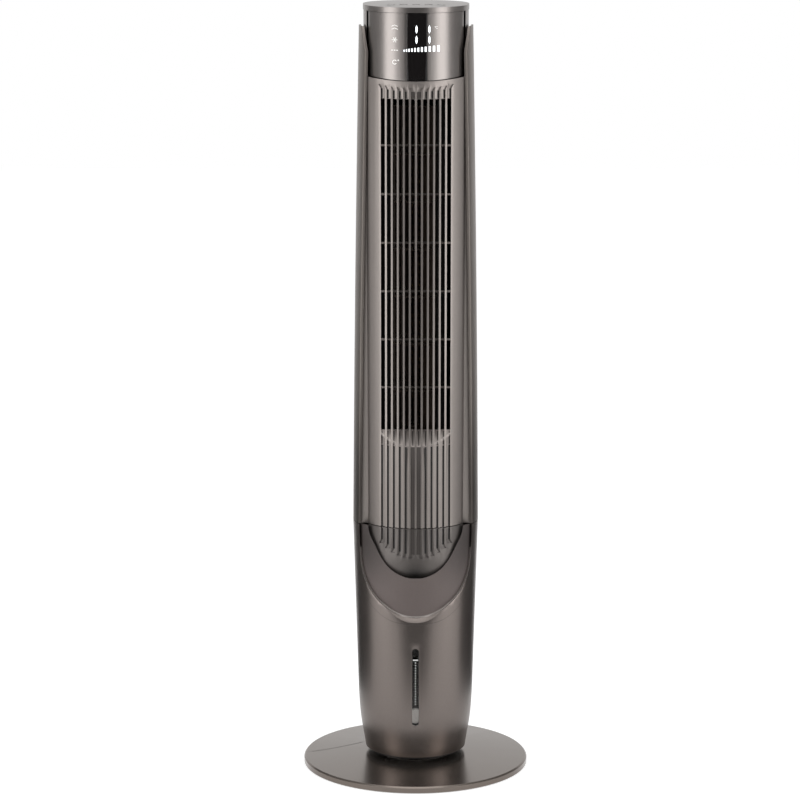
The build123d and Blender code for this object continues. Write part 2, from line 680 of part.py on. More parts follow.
with BuildPart() as nose_cover:
    with BuildSketch(Plane.XZ):
        with BuildLine():
            Spline((DRUM_RADIUS, NOSE_TUCK_START),
                   (DRUM_RADIUS - NOSE_TUCK * 0.3, (NOSE_TUCK_START + NOSE_BOTTOM) / 2),
                   (DRUM_RADIUS - NOSE_TUCK, NOSE_BOTTOM), tangents=((0, -1), (-1, -1.2)))
            Polyline((DRUM_RADIUS, NOSE_TUCK_START), (DRUM_RADIUS, SEAM_Z),
                     (DRUM_RADIUS - DRUM_SKIN, SEAM_Z),
                     (DRUM_RADIUS - DRUM_SKIN, NOSE_TUCK_START))
            Spline((DRUM_RADIUS - DRUM_SKIN, NOSE_TUCK_START),
                   (DRUM_RADIUS - NOSE_TUCK * 0.3 - DRUM_SKIN,
                    (NOSE_TUCK_START + NOSE_BOTTOM) / 2),
                   (DRUM_RADIUS - NOSE_TUCK - DRUM_SKIN, NOSE_BOTTOM),
                   tangents=((0, -1), (-1, -1.2)))
            Line((DRUM_RADIUS - NOSE_TUCK - DRUM_SKIN, NOSE_BOTTOM),
                 (DRUM_RADIUS - NOSE_TUCK, NOSE_BOTTOM))
        make_face()
    revolve(axis=Axis.Z)
    block(-DRUM_HALF_WIDTH_LOW, DRUM_HALF_WIDTH_LOW, -ALL, -30, NOSE_BOTTOM, SEAM_Z,
          Mode.INTERSECT)
save(bib_panel.part, "bib_panel")

with BuildPart() as level_window:
    add(housing_outer)
    add(housing_inner, mode=Mode.SUBTRACT)
    extrude(window_slot(RUN), amount=ALL, mode=Mode.INTERSECT)
save(level_window.part, "level_window")

gland_front = lower_half_width(GLAND_Z) - WALL - 5
with BuildPart() as cord_gland:
    with BuildSketch(Plane.XZ.offset(-gland_front)):
        with Locations((GLAND_X, GLAND_Z)):
            Circle(GLAND_RADIUS)
    extrude(amount=-GLAND_LENGTH)
    with BuildSketch(Plane.XZ.offset(-gland_front)):
        with Locations((GLAND_X, GLAND_Z)):
            Circle(GLAND_RADIUS + 2.5)
    extrude(amount=-2)
    with BuildSketch(Plane.XZ.offset(-gland_front)):
        with Locations((GLAND_X, GLAND_Z)):
            Circle(GLAND_RADIUS - 3)
    extrude(amount=-ALL, mode=Mode.SUBTRACT)
save(cord_gland.part, "cord_gland")

# ---------------------------------------------------------------- tank drawer
with BuildPart() as water_tank:
    with BuildSketch(Plane.XY.offset(TANK_BOTTOM)) as tank_plan:
        with Locations((0, (TANK_FRONT_Y + TANK_REAR_Y) / 2)):
            Rectangle(2 * TANK_HALF_WIDTH, TANK_REAR_Y - TANK_FRONT_Y)
        fillet(tank_plan.vertices().group_by(Axis.Y)[0], TANK_FRONT_CORNER)
        fillet(tank_plan.vertices().group_by(Axis.Y)[-1], TANK_REAR_CORNER)
    extrude(amount=TANK_TOP - TANK_BOTTOM)
    fillet(water_tank.faces().sort_by(Axis.Z)[0].edges(), 4)
    offset(amount=-TANK_WALL, openings=water_tank.faces().sort_by(Axis.Z)[-1])
save(water_tank.part, "water_tank")

with BuildPart() as door_solid:
    add(housing_outer)
    block(-BAY_HALF_WIDTH + CLEAR, BAY_HALF_WIDTH - CLEAR, TANK_REAR_Y, ALL,
          BAY_FLOOR_Z + BAY_FLOOR + CLEAR, BAY_TOP - CLEAR, Mode.INTERSECT)
with BuildPart() as door_hollow:
    add(housing_inner)
    block(-BAY_HALF_WIDTH + DOOR_WALL, BAY_HALF_WIDTH - DOOR_WALL, TANK_REAR_Y + DOOR_WALL, ALL,
          TANK_BOTTOM + DOOR_WALL, BAY_TOP - DOOR_WALL, Mode.INTERSECT)
grip_y = lower_half_width(GRIP_BOTTOM) + FRONT_FULLNESS
with BuildPart() as tank_door:
    add(door_solid.part)
    add(door_hollow.part, mode=Mode.SUBTRACT)
    # finger pocket, walled inside the hollow door
    block(-GRIP_HALF_WIDTH - DOOR_WALL, GRIP_HALF_WIDTH + DOOR_WALL,
          grip_y - GRIP_DEPTH - DOOR_WALL, grip_y - WALL - 6,
          GRIP_BOTTOM - DOOR_WALL, GRIP_TOP + DOOR_WALL)
    block(-GRIP_HALF_WIDTH, GRIP_HALF_WIDTH, grip_y - GRIP_DEPTH, ALL, GRIP_BOTTOM, GRIP_TOP,
          Mode.SUBTRACT)
save(tank_door.part, "tank_door")

pump_bottom = TANK_BOTTOM + TANK_WALL
with BuildPart() as pump:
    with Locations((PUMP_X, PUMP_Y, pump_bottom + PUMP_HEIGHT / 2)):
        Box(PUMP_WIDTH, PUMP_DEPTH, PUMP_HEIGHT)
    fillet(pump.edges().filter_by(Axis.Z), 4)
    post(TUBE_X, TUBE_Y, pump_bottom + PUMP_HEIGHT, pump_bottom + PUMP_HEIGHT + 6, TUBE_RADIUS)
save(pump.part, "pump")

with BuildPart() as pump_pipe:
    post(TUBE_X, TUBE_Y, pump_bottom + PUMP_HEIGHT + 6, TANK_TOP, TUBE_RADIUS)
    post(TUBE_X, TUBE_Y, pump_bottom + PUMP_HEIGHT + 6, TANK_TOP, TUBE_BORE, Mode.SUBTRACT)
    block(TUBE_X, TANK_HALF_WIDTH - TANK_WALL, TUBE_Y - 2, TUBE_Y + 2,
          TANK_TOP - 14, TANK_TOP - 10)
    post(TUBE_X, TUBE_Y, pump_bottom + PUMP_HEIGHT + 6, TANK_TOP, TUBE_BORE, Mode.SUBTRACT)
save(pump_pipe.part, "pump_pipe")

float_guide_bottom = FLOAT_BOTTOM - 2
guide_half_width = FLOAT_WIDTH / 2 + 2.5
guide_back = float_front + FLOAT_DEPTH + 2
# float behind the level window, on a guide rail inside the tank's front wall
with BuildPart() as level_float:
    block(-FLOAT_WIDTH / 2, FLOAT_WIDTH / 2, float_front, float_front + FLOAT_DEPTH,
          FLOAT_BOTTOM, FLOAT_BOTTOM + FLOAT_HEIGHT)
    fillet(level_float.edges().filter_by(Axis.Y), FLOAT_WIDTH / 2 - 0.5)
save(level_float.part, "level_float")

with BuildPart() as float_guide:
    block(-guide_half_width, guide_half_width, float_front, guide_back,
          float_guide_bottom, WINDOW_TOP)
    block(-FLOAT_WIDTH / 2 - CLEAR, FLOAT_WIDTH / 2 + CLEAR, float_front,
          float_front + FLOAT_DEPTH + CLEAR, float_guide_bottom, WINDOW_TOP, Mode.SUBTRACT)
save(float_guide.part, "float_guide")

# ---------------------------------------------------------------- upper shells
upper_bottom = SEAM_Z + SEAM_GAP
body_outer = upper_body(0, upper_bottom, TIP_Z)
body_inner = upper_body(SKIN, upper_bottom, TIP_Z)
body_seat = upper_body(SKIN + CLEAR, upper_bottom, TIP_Z)

with BuildPart() as shell_ring:
    add(body_outer)
    add(body_inner, mode=Mode.SUBTRACT)

with BuildPart() as side_panel:
    add(shell_ring.part)
    block(0, ALL, SHELL_FRONT_Y, SHELL_REAR_Y - CLEAR / 2, upper_bottom, TIP_Z, Mode.INTERSECT)
    # the front edge slants back to the tip
    with BuildSketch(Plane.YZ):
        with BuildLine():
            Polyline((SHELL_FRONT_Y - 1, TIP_FOOT_Z), (SHELL_FRONT_Y - 1, TIP_Z + 1),
                     (TIP_FRONT_Y, TIP_Z + 1), (SHELL_FRONT_Y, TIP_FOOT_Z), close=True)
        make_face()
    extrude(amount=ALL, mode=Mode.SUBTRACT)
    # and the rear edge down to the rear shell
    with BuildSketch(Plane.YZ):
        with BuildLine():
            Polyline((SHELL_REAR_Y + 1, SHOULDER_Z), (SHELL_REAR_Y + 1, TIP_Z + 1),
                     (TIP_REAR_Y, TIP_Z + 1), (SHELL_REAR_Y, SHOULDER_Z), close=True)
        make_face()
    extrude(amount=ALL, mode=Mode.SUBTRACT)
right_side_panel = side_panel.part
left_side_panel = mirror(side_panel.part, about=Plane.YZ)
save(right_side_panel, "right_side_panel")
save(left_side_panel, "left_side_panel")

with BuildPart() as rear_shell:
    add(shell_ring.part)
    block(-ALL, ALL, SHELL_REAR_Y + CLEAR / 2, ALL, upper_bottom, SHOULDER_Z, Mode.INTERSECT)
    block(-INTAKE_HALF_WIDTH, INTAKE_HALF_WIDTH, 0, ALL, INTAKE_BOTTOM, INTAKE_TOP, Mode.SUBTRACT)
    for plate_z in (MOTOR_PLATE_Z, TOP_PLATE_Z):
        for x in (-SHELL_SCREW_X, SHELL_SCREW_X):
            with Locations((x, ALL / 2, plate_z + PLATE_THICKNESS / 2)):
                Cylinder(SCREW_RADIUS + CLEAR, ALL, rotation=(90, 0, 0), mode=Mode.SUBTRACT)
save(rear_shell.part, "rear_shell")

slot_positions = [(i - (SLOT_COUNT - 1) / 2) * SLOT_PITCH for i in range(SLOT_COUNT)]
slot_reach = slot_positions[-1] + SLOT_WIDTH / 2


def groove_low(x):
    """Lower end of a groove; the row of ends follows the collar's U."""
    return GROOVE_LOW_CENTRE + GROOVE_LOW_RISE * (x / slot_positions[-1]) ** 2


def groove_high(x):
    """Upper end of a groove."""
    return GROOVE_HIGH_CENTRE + GROOVE_HIGH_RISE * (x / slot_positions[-1]) ** 2


def groove_cutter(inner_radius):
    """Twelve upright slots with hooked ends, outside a cylinder."""
    with BuildPart() as cutter:
        with BuildSketch(Plane.XZ):
            for x in slot_positions:
                left, right = x - SLOT_WIDTH / 2, x + SLOT_WIDTH / 2
                hook = GROOVE_HOOK if x > 0 else -GROOVE_HOOK
                low, high = groove_low(x), groove_high(x)
                with BuildLine():
                    Polyline((left, low + GROOVE_HOOK_HEIGHT), (left + hook, low),
                             (right + hook, low), (right, low + GROOVE_HOOK_HEIGHT),
                             (right, high - GROOVE_HOOK_HEIGHT), (right + hook, high),
                             (left + hook, high), (left, high - GROOVE_HOOK_HEIGHT), close=True)
                make_face()
        extrude(amount=DRUM_RADIUS + 10)
        post(0, 0, GROOVE_LOW_CENTRE - 10, GROOVE_HIGH_CENTRE + 20, inner_radius, Mode.SUBTRACT)
    return cutter.part


grooves = groove_cutter(DRUM_RADIUS - GROOVE_DEPTH)
with BuildPart() as nose_with_grooves:
    add(nose_cover.part)
    add(grooves, mode=Mode.SUBTRACT)
save(nose_with_grooves.part, "nose_cover")

with BuildPart() as drum_front:
    with BuildSketch(Plane.XZ):
        with BuildLine():
            Polyline((DRUM_HALF_WIDTH_HIGH, DRUM_TOP_EDGE), (DRUM_HALF_WIDTH_LOW, upper_bottom),
                     (-DRUM_HALF_WIDTH_LOW, upper_bottom), (-DRUM_HALF_WIDTH_HIGH, DRUM_TOP_EDGE))
            ThreePointArc((-DRUM_HALF_WIDTH_HIGH, DRUM_TOP_EDGE), (0, DRUM_TOP_CENTRE),
                          (DRUM_HALF_WIDTH_HIGH, DRUM_TOP_EDGE))
        make_face()
    extrude(amount=ALL)

with BuildPart() as drum_shell:
    with BuildSketch(Plane.XY.offset(upper_bottom)):
        Circle(DRUM_RADIUS)
        Circle(DRUM_RADIUS - DRUM_SKIN, mode=Mode.SUBTRACT)
    extrude(amount=DRUM_TOP_EDGE - upper_bottom)
    add(drum_front.part, mode=Mode.INTERSECT)
    block(-ALL, ALL, -ALL, SHOULDER_BACK_Y, 0, DRUM_TOP_EDGE, Mode.INTERSECT)

# shoulders that fill the channels between the drum and the side panels
with BuildPart() as shoulders:
    add(body_seat)
    block(-ALL, ALL, SHOULDER_FRONT_Y, SHOULDER_BACK_Y, upper_bottom, DRUM_TOP_CENTRE,
          Mode.INTERSECT)
    block(-DRUM_HALF_WIDTH_LOW + 4, DRUM_HALF_WIDTH_LOW - 4, -ALL, 0, 0, 6 * ALL,
          Mode.SUBTRACT)

with BuildPart() as rib_field:
    for x in [x + SLOT_PITCH / 2 for x in slot_positions[:-1]]:
        block(x - (SLOT_PITCH - SLOT_WIDTH) / 2, x + (SLOT_PITCH - SLOT_WIDTH) / 2,
              -ALL, RIB_BACK_Y, OPENING_BOTTOM - 2, OPENING_TOP + 2)
    for bar in range(CROSSBAR_COUNT):
        z = CROSSBAR_TOP - bar * CROSSBAR_PITCH
        block(-slot_reach - 1, slot_reach + 1, RIB_BACK_Y - 3, RIB_BACK_Y,
              z - CROSSBAR_HEIGHT / 2, z + CROSSBAR_HEIGHT / 2)
    # sloping sill under the opening
    with BuildSketch(Plane.YZ.offset(-slot_reach - 1)):
        with BuildLine():
            Polyline((-DRUM_RADIUS, OPENING_BOTTOM), (-DRUM_RADIUS, OPENING_BOTTOM - 3),
                     (RIB_BACK_Y, OPENING_BOTTOM + SILL_RISE - 3),
                     (RIB_BACK_Y, OPENING_BOTTOM + SILL_RISE), close=True)
        make_face()
    extrude(amount=2 * slot_reach + 2)
    # side walls of the opening
    for side in (-1, 1):
        near, far = slot_reach, slot_reach + 2
        block(min(side * near, side * far), max(side * near, side * far), -ALL, RIB_BACK_Y,
              OPENING_BOTTOM, OPENING_TOP + 2)
    post(0, 0, OPENING_BOTTOM - 10, OPENING_TOP + 10, DRUM_RADIUS, Mode.INTERSECT)

# the air opening; its lower edge follows the sill
sill_top = OPENING_BOTTOM + SILL_RISE
with BuildPart() as opening:
    with BuildSketch(Plane.YZ.offset(-slot_reach)):
        with BuildLine():
            Polyline((-ALL, OPENING_BOTTOM), (-DRUM_RADIUS, OPENING_BOTTOM),
                     (RIB_BACK_Y, sill_top), (0, sill_top), (0, OPENING_TOP),
                     (-ALL, OPENING_TOP), close=True)
        make_face()
    extrude(amount=2 * slot_reach)

with BuildPart() as front_grille:
    add(drum_shell.part)
    add(grooves, mode=Mode.SUBTRACT)
    add(opening.part, mode=Mode.SUBTRACT)
    add(rib_field.part)
    add(shoulders.part)
save(front_grille.part, "front_grille")


# ---------------------------------------------------------------- blower
def plate_sketch(z):
    """Outline of an inner plate that seats against the shells and the drum."""
    half = upper_half_width(z) - SKIN - CLEAR
    with BuildSketch(Plane.XY.offset(z)) as outline:
        with BuildLine():
            Spline(*section_points(half, half, half, SQUARENESS), periodic=True)
        make_face()
        with Locations((0, -ALL / 2 + SHOULDER_BACK_Y + CLEAR)):
            Rectangle(2 * ALL, ALL, mode=Mode.SUBTRACT)
    with BuildSketch(Plane.XY.offset(z)) as whole:
        add(outline.sketch)
        # tongue that reaches forward to the back of the ribs
        with Locations((0, (RIB_BACK_Y + TRAY_FRONT_Y) / 2 + CLEAR)):
            Rectangle(2 * TONGUE_HALF_WIDTH, TRAY_FRONT_Y - RIB_BACK_Y)
    return whole.sketch


def shell_screw_pilots(plate_z):
    """Pilot holes for the screws that hold the rear shell."""
    for x in (-SHELL_SCREW_X, SHELL_SCREW_X):
        with Locations((x, ALL / 2 + PAD_REAR_Y, plate_z + PLATE_THICKNESS / 2)):
            Cylinder(SCREW_RADIUS + RUN, ALL, rotation=(90, 0, 0), mode=Mode.SUBTRACT)


with BuildPart() as motor_plate:
    extrude(plate_sketch(MOTOR_PLATE_Z), amount=PLATE_THICKNESS)
    post(0, FAN_Y, 0, 5 * ALL, SHAFT_RADIUS + 4, Mode.SUBTRACT)
    post(TUBE_X, TUBE_Y, 0, 5 * ALL, TUBE_RADIUS + CLEAR, Mode.SUBTRACT)
    with Locations((0, FAN_Y)):
        with PolarLocations(MOTOR_SCREW_CIRCLE, 4, start_angle=45):
            with Locations((0, 0, MOTOR_PLATE_Z)):
                Cylinder(SCREW_RADIUS + RUN, ALL / 4, mode=Mode.SUBTRACT)
    shell_screw_pilots(MOTOR_PLATE_Z)
save(motor_plate.part, "motor_plate")

with BuildPart() as top_plate:
    extrude(plate_sketch(TOP_PLATE_Z), amount=PLATE_THICKNESS)
    post(0, FAN_Y, 0, 6 * ALL, BEARING_RADIUS + RUN, Mode.SUBTRACT)
    shell_screw_pilots(TOP_PLATE_Z)
save(top_plate.part, "top_plate")

with BuildPart() as top_bearing:
    post(0, FAN_Y, TOP_PLATE_Z, TOP_PLATE_Z + PLATE_THICKNESS, BEARING_RADIUS)
    post(0, FAN_Y, TOP_PLATE_Z + PLATE_THICKNESS, TOP_PLATE_Z + PLATE_THICKNESS + 2,
         BEARING_RADIUS + 2)
    post(0, FAN_Y, TOP_PLATE_Z - 1, TOP_PLATE_Z + PLATE_THICKNESS + 3, SHAFT_RADIUS + RUN,
         Mode.SUBTRACT)
save(top_bearing.part, "top_bearing")

motor_bottom = MOTOR_PLATE_Z - MOTOR_HEIGHT
with BuildPart() as fan_motor:
    post(0, FAN_Y, motor_bottom, MOTOR_PLATE_Z, MOTOR_RADIUS)
    fillet(fan_motor.edges().filter_by(GeomType.CIRCLE).sort_by(Axis.Z)[0], 5)
    post(0, FAN_Y, MOTOR_PLATE_Z, MOTOR_PLATE_Z + PLATE_THICKNESS, SHAFT_RADIUS + 3.7)
    post(0, FAN_Y, motor_bottom + 10, MOTOR_PLATE_Z + ALL, SHAFT_RADIUS + RUN, Mode.SUBTRACT)
    with Locations((0, FAN_Y)):
        with PolarLocations(MOTOR_SCREW_CIRCLE, 4, start_angle=45):
            with Locations((0, 0, MOTOR_PLATE_Z)):
                Cylinder(SCREW_RADIUS + RUN, 2 * SCREW_LENGTH, mode=Mode.SUBTRACT)
save(fan_motor.part, "fan_motor")

plate_top = MOTOR_PLATE_Z + PLATE_THICKNESS
with BuildPart() as motor_screws:
    with Locations((0, FAN_Y)):
        with PolarLocations(MOTOR_SCREW_CIRCLE, 4, start_angle=45):
            with Locations((0, 0, plate_top + SCREW_HEAD_HEIGHT / 2)):
                Cylinder(SCREW_HEAD_RADIUS, SCREW_HEAD_HEIGHT)
            with Locations((0, 0, plate_top - (SCREW_LENGTH + 4) / 2)):
                Cylinder(SCREW_RADIUS, SCREW_LENGTH + 4)
save(motor_screws.part, "motor_screws")

with BuildPart() as impeller_shaft:
    post(0, FAN_Y, motor_bottom + 10 + CLEAR, TOP_PLATE_Z + PLATE_THICKNESS + 1, SHAFT_RADIUS)
save(impeller_shaft.part, "impeller_shaft")

stage_pitch = (IMPELLER_TOP - IMPELLER_BOTTOM - DISC_THICKNESS) / IMPELLER_STAGES
with BuildPart() as impeller:
    with BuildSketch(Plane.XY.offset(IMPELLER_BOTTOM)):
        with Locations((0, FAN_Y)):
            with PolarLocations(IMPELLER_RADIUS - BLADE_CHORD / 2 - 1, BLADE_COUNT):
                Rectangle(BLADE_CHORD, BLADE_THICKNESS, rotation=BLADE_TILT)
    extrude(amount=IMPELLER_TOP - IMPELLER_BOTTOM)
    for stage in range(IMPELLER_STAGES + 1):
        z = IMPELLER_BOTTOM + stage * stage_pitch
        with BuildSketch(Plane.XY.offset(z)):
            with Locations((0, FAN_Y)):
                Circle(IMPELLER_RADIUS)
                if 0 < stage < IMPELLER_STAGES:
                    Circle(IMPELLER_RADIUS - BLADE_CHORD - 2, mode=Mode.SUBTRACT)
                else:
                    Circle(SHAFT_RADIUS + RUN, mode=Mode.SUBTRACT)
        extrude(amount=DISC_THICKNESS)
    # hubs that grip the shaft, inside the two end discs
    for z in (IMPELLER_BOTTOM, IMPELLER_TOP - IMPELLER_HUB_HEIGHT):
        post(0, FAN_Y, z, z + IMPELLER_HUB_HEIGHT, SHAFT_RADIUS + 5)
    post(0, FAN_Y, 0, 6 * ALL, SHAFT_RADIUS + RUN, Mode.SUBTRACT)
save(impeller.part, "impeller")


def wall_sector(centre_x, centre_y, radius, start, end):
    """Upright curved wall between the motor plate and the top plate."""
    with BuildPart() as wall:
        with BuildSketch(Plane.XY.offset(plate_top)):
            with Locations((centre_x, centre_y)):
                Circle(radius + 2)
                Circle(radius, mode=Mode.SUBTRACT)
            with BuildLine():
                arc = CenterArc((centre_x, centre_y), 2 * ALL, start, end - start)
                Line((centre_x, centre_y), arc @ 0)
                Line((centre_x, centre_y), arc @ 1)
            make_face(mode=Mode.INTERSECT)
        extrude(amount=TOP_PLATE_Z - plate_top)
    return wall.part


rear_wall = wall_sector(-2, FAN_Y + 2, IMPELLER_RADIUS + 5, 140, 232)
cutoff_wall = wall_sector(0, FAN_Y, IMPELLER_RADIUS + 3, 305, 350)
save(rear_wall, "volute_wall")
save(cutoff_wall, "cutoff_wall")

# ---------------------------------------------------------------- water and electrics
distributor_bottom = INTAKE_TOP + 1
with BuildPart() as drip_tray:
    add(lower_body(WALL + CLEAR, TOWER_BOTTOM, SEAM_Z))
    block(-ALL, ALL, TRAY_FRONT_Y, ALL, TRAY_Z, TRAY_Z + TRAY_WALL_HEIGHT, Mode.INTERSECT)
    block(-ALL, ALL, TRAY_FRONT_Y + 3, PAD_REAR_Y, TRAY_Z + TRAY_THICKNESS, ALL * 2, Mode.SUBTRACT)
    post(0, PAD_FRONT_Y, 0, 2 * ALL, 5, Mode.SUBTRACT)
    post(TUBE_X, TUBE_Y, 0, 2 * ALL, TUBE_RADIUS + CLEAR, Mode.SUBTRACT)
    # posts under the power board
    for x in (BOARD_LEFT + 4, BOARD_RIGHT - 4):
        for y in (BOARD_Y - BOARD_HALF_DEPTH + 4, BOARD_Y + BOARD_HALF_DEPTH - 4):
            post(x, y, TRAY_Z + TRAY_THICKNESS, BOARD_Z, 3)
save(drip_tray.part, "drip_tray")

with BuildPart() as power_board:
    block(BOARD_LEFT, BOARD_RIGHT, BOARD_Y - BOARD_HALF_DEPTH,
          BOARD_Y + BOARD_HALF_DEPTH, BOARD_Z, BOARD_Z + BOARD_THICKNESS)
    # transformer, two capacitors and a terminal block
    block(-24, 0, BOARD_Y - 12, BOARD_Y + 10, BOARD_Z + BOARD_THICKNESS, BOARD_Z + 20)
    for x in (8, 18):
        post(x, BOARD_Y - 6, BOARD_Z + BOARD_THICKNESS, BOARD_Z + 16, 4)
    block(6, 22, BOARD_Y + 4, BOARD_Y + 12, BOARD_Z + BOARD_THICKNESS, BOARD_Z + 12)
save(power_board.part, "power_board")

with BuildPart() as riser_tube:
    post(TUBE_X, TUBE_Y, TANK_TOP + CLEAR, distributor_bottom, TUBE_RADIUS)
    post(TUBE_X, TUBE_Y, TANK_TOP, distributor_bottom, TUBE_BORE, Mode.SUBTRACT)
save(riser_tube.part, "riser_tube")

# trough that drips water along the top of the pad, with an arm to the riser
with BuildPart() as water_distributor:
    block(-PAD_HALF_WIDTH, PAD_HALF_WIDTH, PAD_FRONT_Y, PAD_REAR_Y, distributor_bottom, TOP_PLATE_Z)
    block(TUBE_X - ARM_HALF_WIDTH, TUBE_X + ARM_HALF_WIDTH, TUBE_Y - ARM_HALF_WIDTH,
          PAD_FRONT_Y + 2, distributor_bottom, TOP_PLATE_Z)
    block(-PAD_HALF_WIDTH + 2, PAD_HALF_WIDTH - 2, PAD_FRONT_Y + 2, PAD_REAR_Y - 2,
          distributor_bottom + 2, TOP_PLATE_Z + 1, Mode.SUBTRACT)
    block(TUBE_X - ARM_HALF_WIDTH + 2, TUBE_X + ARM_HALF_WIDTH - 2, TUBE_Y - ARM_HALF_WIDTH + 2,
          PAD_FRONT_Y + 3, distributor_bottom + 2, TOP_PLATE_Z + 1, Mode.SUBTRACT)
    post(TUBE_X, TUBE_Y, distributor_bottom - 1, distributor_bottom + 3, TUBE_BORE,
         Mode.SUBTRACT)
    for hole in range(9):
        post(-PAD_HALF_WIDTH + 9 + hole * (PAD_HALF_WIDTH - 9) / 4, (PAD_FRONT_Y + PAD_REAR_Y) / 2,
             distributor_bottom - 1, distributor_bottom + 3, 1, Mode.SUBTRACT)
save(water_distributor.part, "water_distributor")

# ---------------------------------------------------------------- rear intake, lifts out backwards
frame_bottom = INTAKE_BOTTOM + 4
frame_top = distributor_bottom - 1.5
with BuildPart() as rear_grille:
    add(shell_ring.part)
    block(-INTAKE_HALF_WIDTH + CLEAR, INTAKE_HALF_WIDTH - CLEAR, 20, ALL,
          INTAKE_BOTTOM + CLEAR, INTAKE_TOP - CLEAR, Mode.INTERSECT)
    with BuildSketch(Plane.XZ):
        with Locations((0, (INTAKE_BOTTOM + INTAKE_TOP) / 2)):
            with GridLocations(LOUVRE_WIDTH + 4, LOUVRE_PITCH, LOUVRE_COLUMNS, LOUVRE_ROWS):
                SlotOverall(LOUVRE_WIDTH, LOUVRE_HEIGHT)
    extrude(amount=-ALL, mode=Mode.SUBTRACT)
save(rear_grille.part, "rear_grille")

with BuildPart() as pad_frame:
    add(body_seat)
    block(-PAD_HALF_WIDTH - FRAME_WALL, PAD_HALF_WIDTH + FRAME_WALL, PAD_FRONT_Y - 2, ALL,
          frame_bottom, frame_top, Mode.INTERSECT)
    block(-PAD_HALF_WIDTH, PAD_HALF_WIDTH, 0, ALL, frame_bottom + FRAME_WALL,
          frame_top - FRAME_WALL, Mode.SUBTRACT)
    # bars that hold the pad from the front
    for z in (frame_bottom + 110, (frame_bottom + frame_top) / 2, frame_top - 110):
        block(-PAD_HALF_WIDTH - 1, PAD_HALF_WIDTH + 1, PAD_FRONT_Y - 2, PAD_FRONT_Y - CLEAR,
              z, z + 4)
save(pad_frame.part, "pad_frame")

with BuildPart() as cooling_pad:
    block(-PAD_HALF_WIDTH + CLEAR, PAD_HALF_WIDTH - CLEAR, PAD_FRONT_Y, PAD_REAR_Y,
          frame_bottom + FRAME_WALL + CLEAR, frame_top - FRAME_WALL - CLEAR)
save(cooling_pad.part, "cooling_pad")

with BuildPart() as dust_filter:
    block(-PAD_HALF_WIDTH + CLEAR, PAD_HALF_WIDTH - CLEAR, PAD_REAR_Y + CLEAR,
          PAD_REAR_Y + CLEAR + FILTER_THICKNESS, frame_bottom + FRAME_WALL + CLEAR,
          frame_top - FRAME_WALL - CLEAR)
save(dust_filter.part, "dust_filter")


def shell_screw_y(plate_z):
    """Depth of the rear shell's surface at the screws, less a little to seat the heads."""
    half = upper_half_width(plate_z)
    return half * (1 - (SHELL_SCREW_X / half) ** SQUARENESS) ** (1 / SQUARENESS) + SCREW_SEAT


with BuildPart() as shell_screws:
    for plate_z in (MOTOR_PLATE_Z, TOP_PLATE_Z):
        head_y = shell_screw_y(plate_z)
        for x in (-SHELL_SCREW_X, SHELL_SCREW_X):
            with Locations((x, head_y + SCREW_HEAD_HEIGHT / 2, plate_z + PLATE_THICKNESS / 2)):
                Cylinder(SCREW_HEAD_RADIUS, SCREW_HEAD_HEIGHT, rotation=(90, 0, 0))
            with Locations((x, head_y - SCREW_LENGTH, plate_z + PLATE_THICKNESS / 2)):
                Cylinder(SCREW_RADIUS, 2 * SCREW_LENGTH, rotation=(90, 0, 0))
save(shell_screws.part, "shell_screws")

# ---------------------------------------------------------------- head
panel_edge_z = DRUM_TOP_EDGE + HEAD_SEAM
skirt_bottom = TOP_PLATE_Z + PLATE_THICKNESS + CLEAR
head_ring_outer = head_body(0, skirt_bottom, HEAD_TOP)
head_ring_inner = head_body(SKIN, skirt_bottom, HEAD_TOP)
with BuildPart() as head_ring:
    add(head_ring_outer)
    add(head_ring_inner, mode=Mode.SUBTRACT)

slot_edge = PANEL_HALF_WIDTH + PANEL_SLOT
with BuildPart() as ledge_roots:
    add(head_body(SKIN / 2, DRUM_TOP_EDGE + 1, HEAD_TOP))
    add(head_body(2 * SKIN, DRUM_TOP_EDGE + 1, HEAD_TOP), mode=Mode.SUBTRACT)
    block(-ALL, ALL, -ALL, LEDGE_BACK_Y, 0, 6 * ALL, Mode.INTERSECT)
    block(-slot_edge, slot_edge, -ALL, ALL, 0, 6 * ALL, Mode.SUBTRACT)

with BuildPart() as head_ledges:
    add(head_body(SKIN + CLEAR, DRUM_TOP_EDGE + 1, HEAD_TOP))
    add(head_body(2 * SKIN + CLEAR, DRUM_TOP_EDGE + 1, HEAD_TOP), mode=Mode.SUBTRACT)
    block(-ALL, ALL, -ALL, LEDGE_BACK_Y, 0, 6 * ALL, Mode.INTERSECT)
    block(-LEDGE_HALF_GAP, LEDGE_HALF_GAP, -ALL, ALL, 0, 6 * ALL, Mode.SUBTRACT)
    add(ledge_roots.part)

with BuildPart() as panel_front:
    with BuildSketch(Plane.XZ):
        with BuildLine():
            Polyline((-PANEL_HALF_WIDTH, panel_edge_z), (-PANEL_HALF_WIDTH, HEAD_TOP),
                     (PANEL_HALF_WIDTH, HEAD_TOP), (PANEL_HALF_WIDTH, panel_edge_z))
            ThreePointArc((PANEL_HALF_WIDTH, panel_edge_z), (0, DRUM_TOP_CENTRE + HEAD_SEAM),
                          (-PANEL_HALF_WIDTH, panel_edge_z))
        make_face()
    extrude(amount=ALL)


def front_strip(gap):
    """The smoked strip down the display, or with a gap the recess that it is glued in."""
    with BuildPart() as strip:
        add(head_ring_outer)
        add(head_body(GLASS_THICKNESS + gap, skirt_bottom, HEAD_TOP), mode=Mode.SUBTRACT)
        add(panel_front.part, mode=Mode.INTERSECT)
        block(GLASS_X - GLASS_WIDTH / 2 - gap, GLASS_X + GLASS_WIDTH / 2 + gap, -ALL, 0,
              0, 6 * ALL, Mode.INTERSECT)
    return strip.part


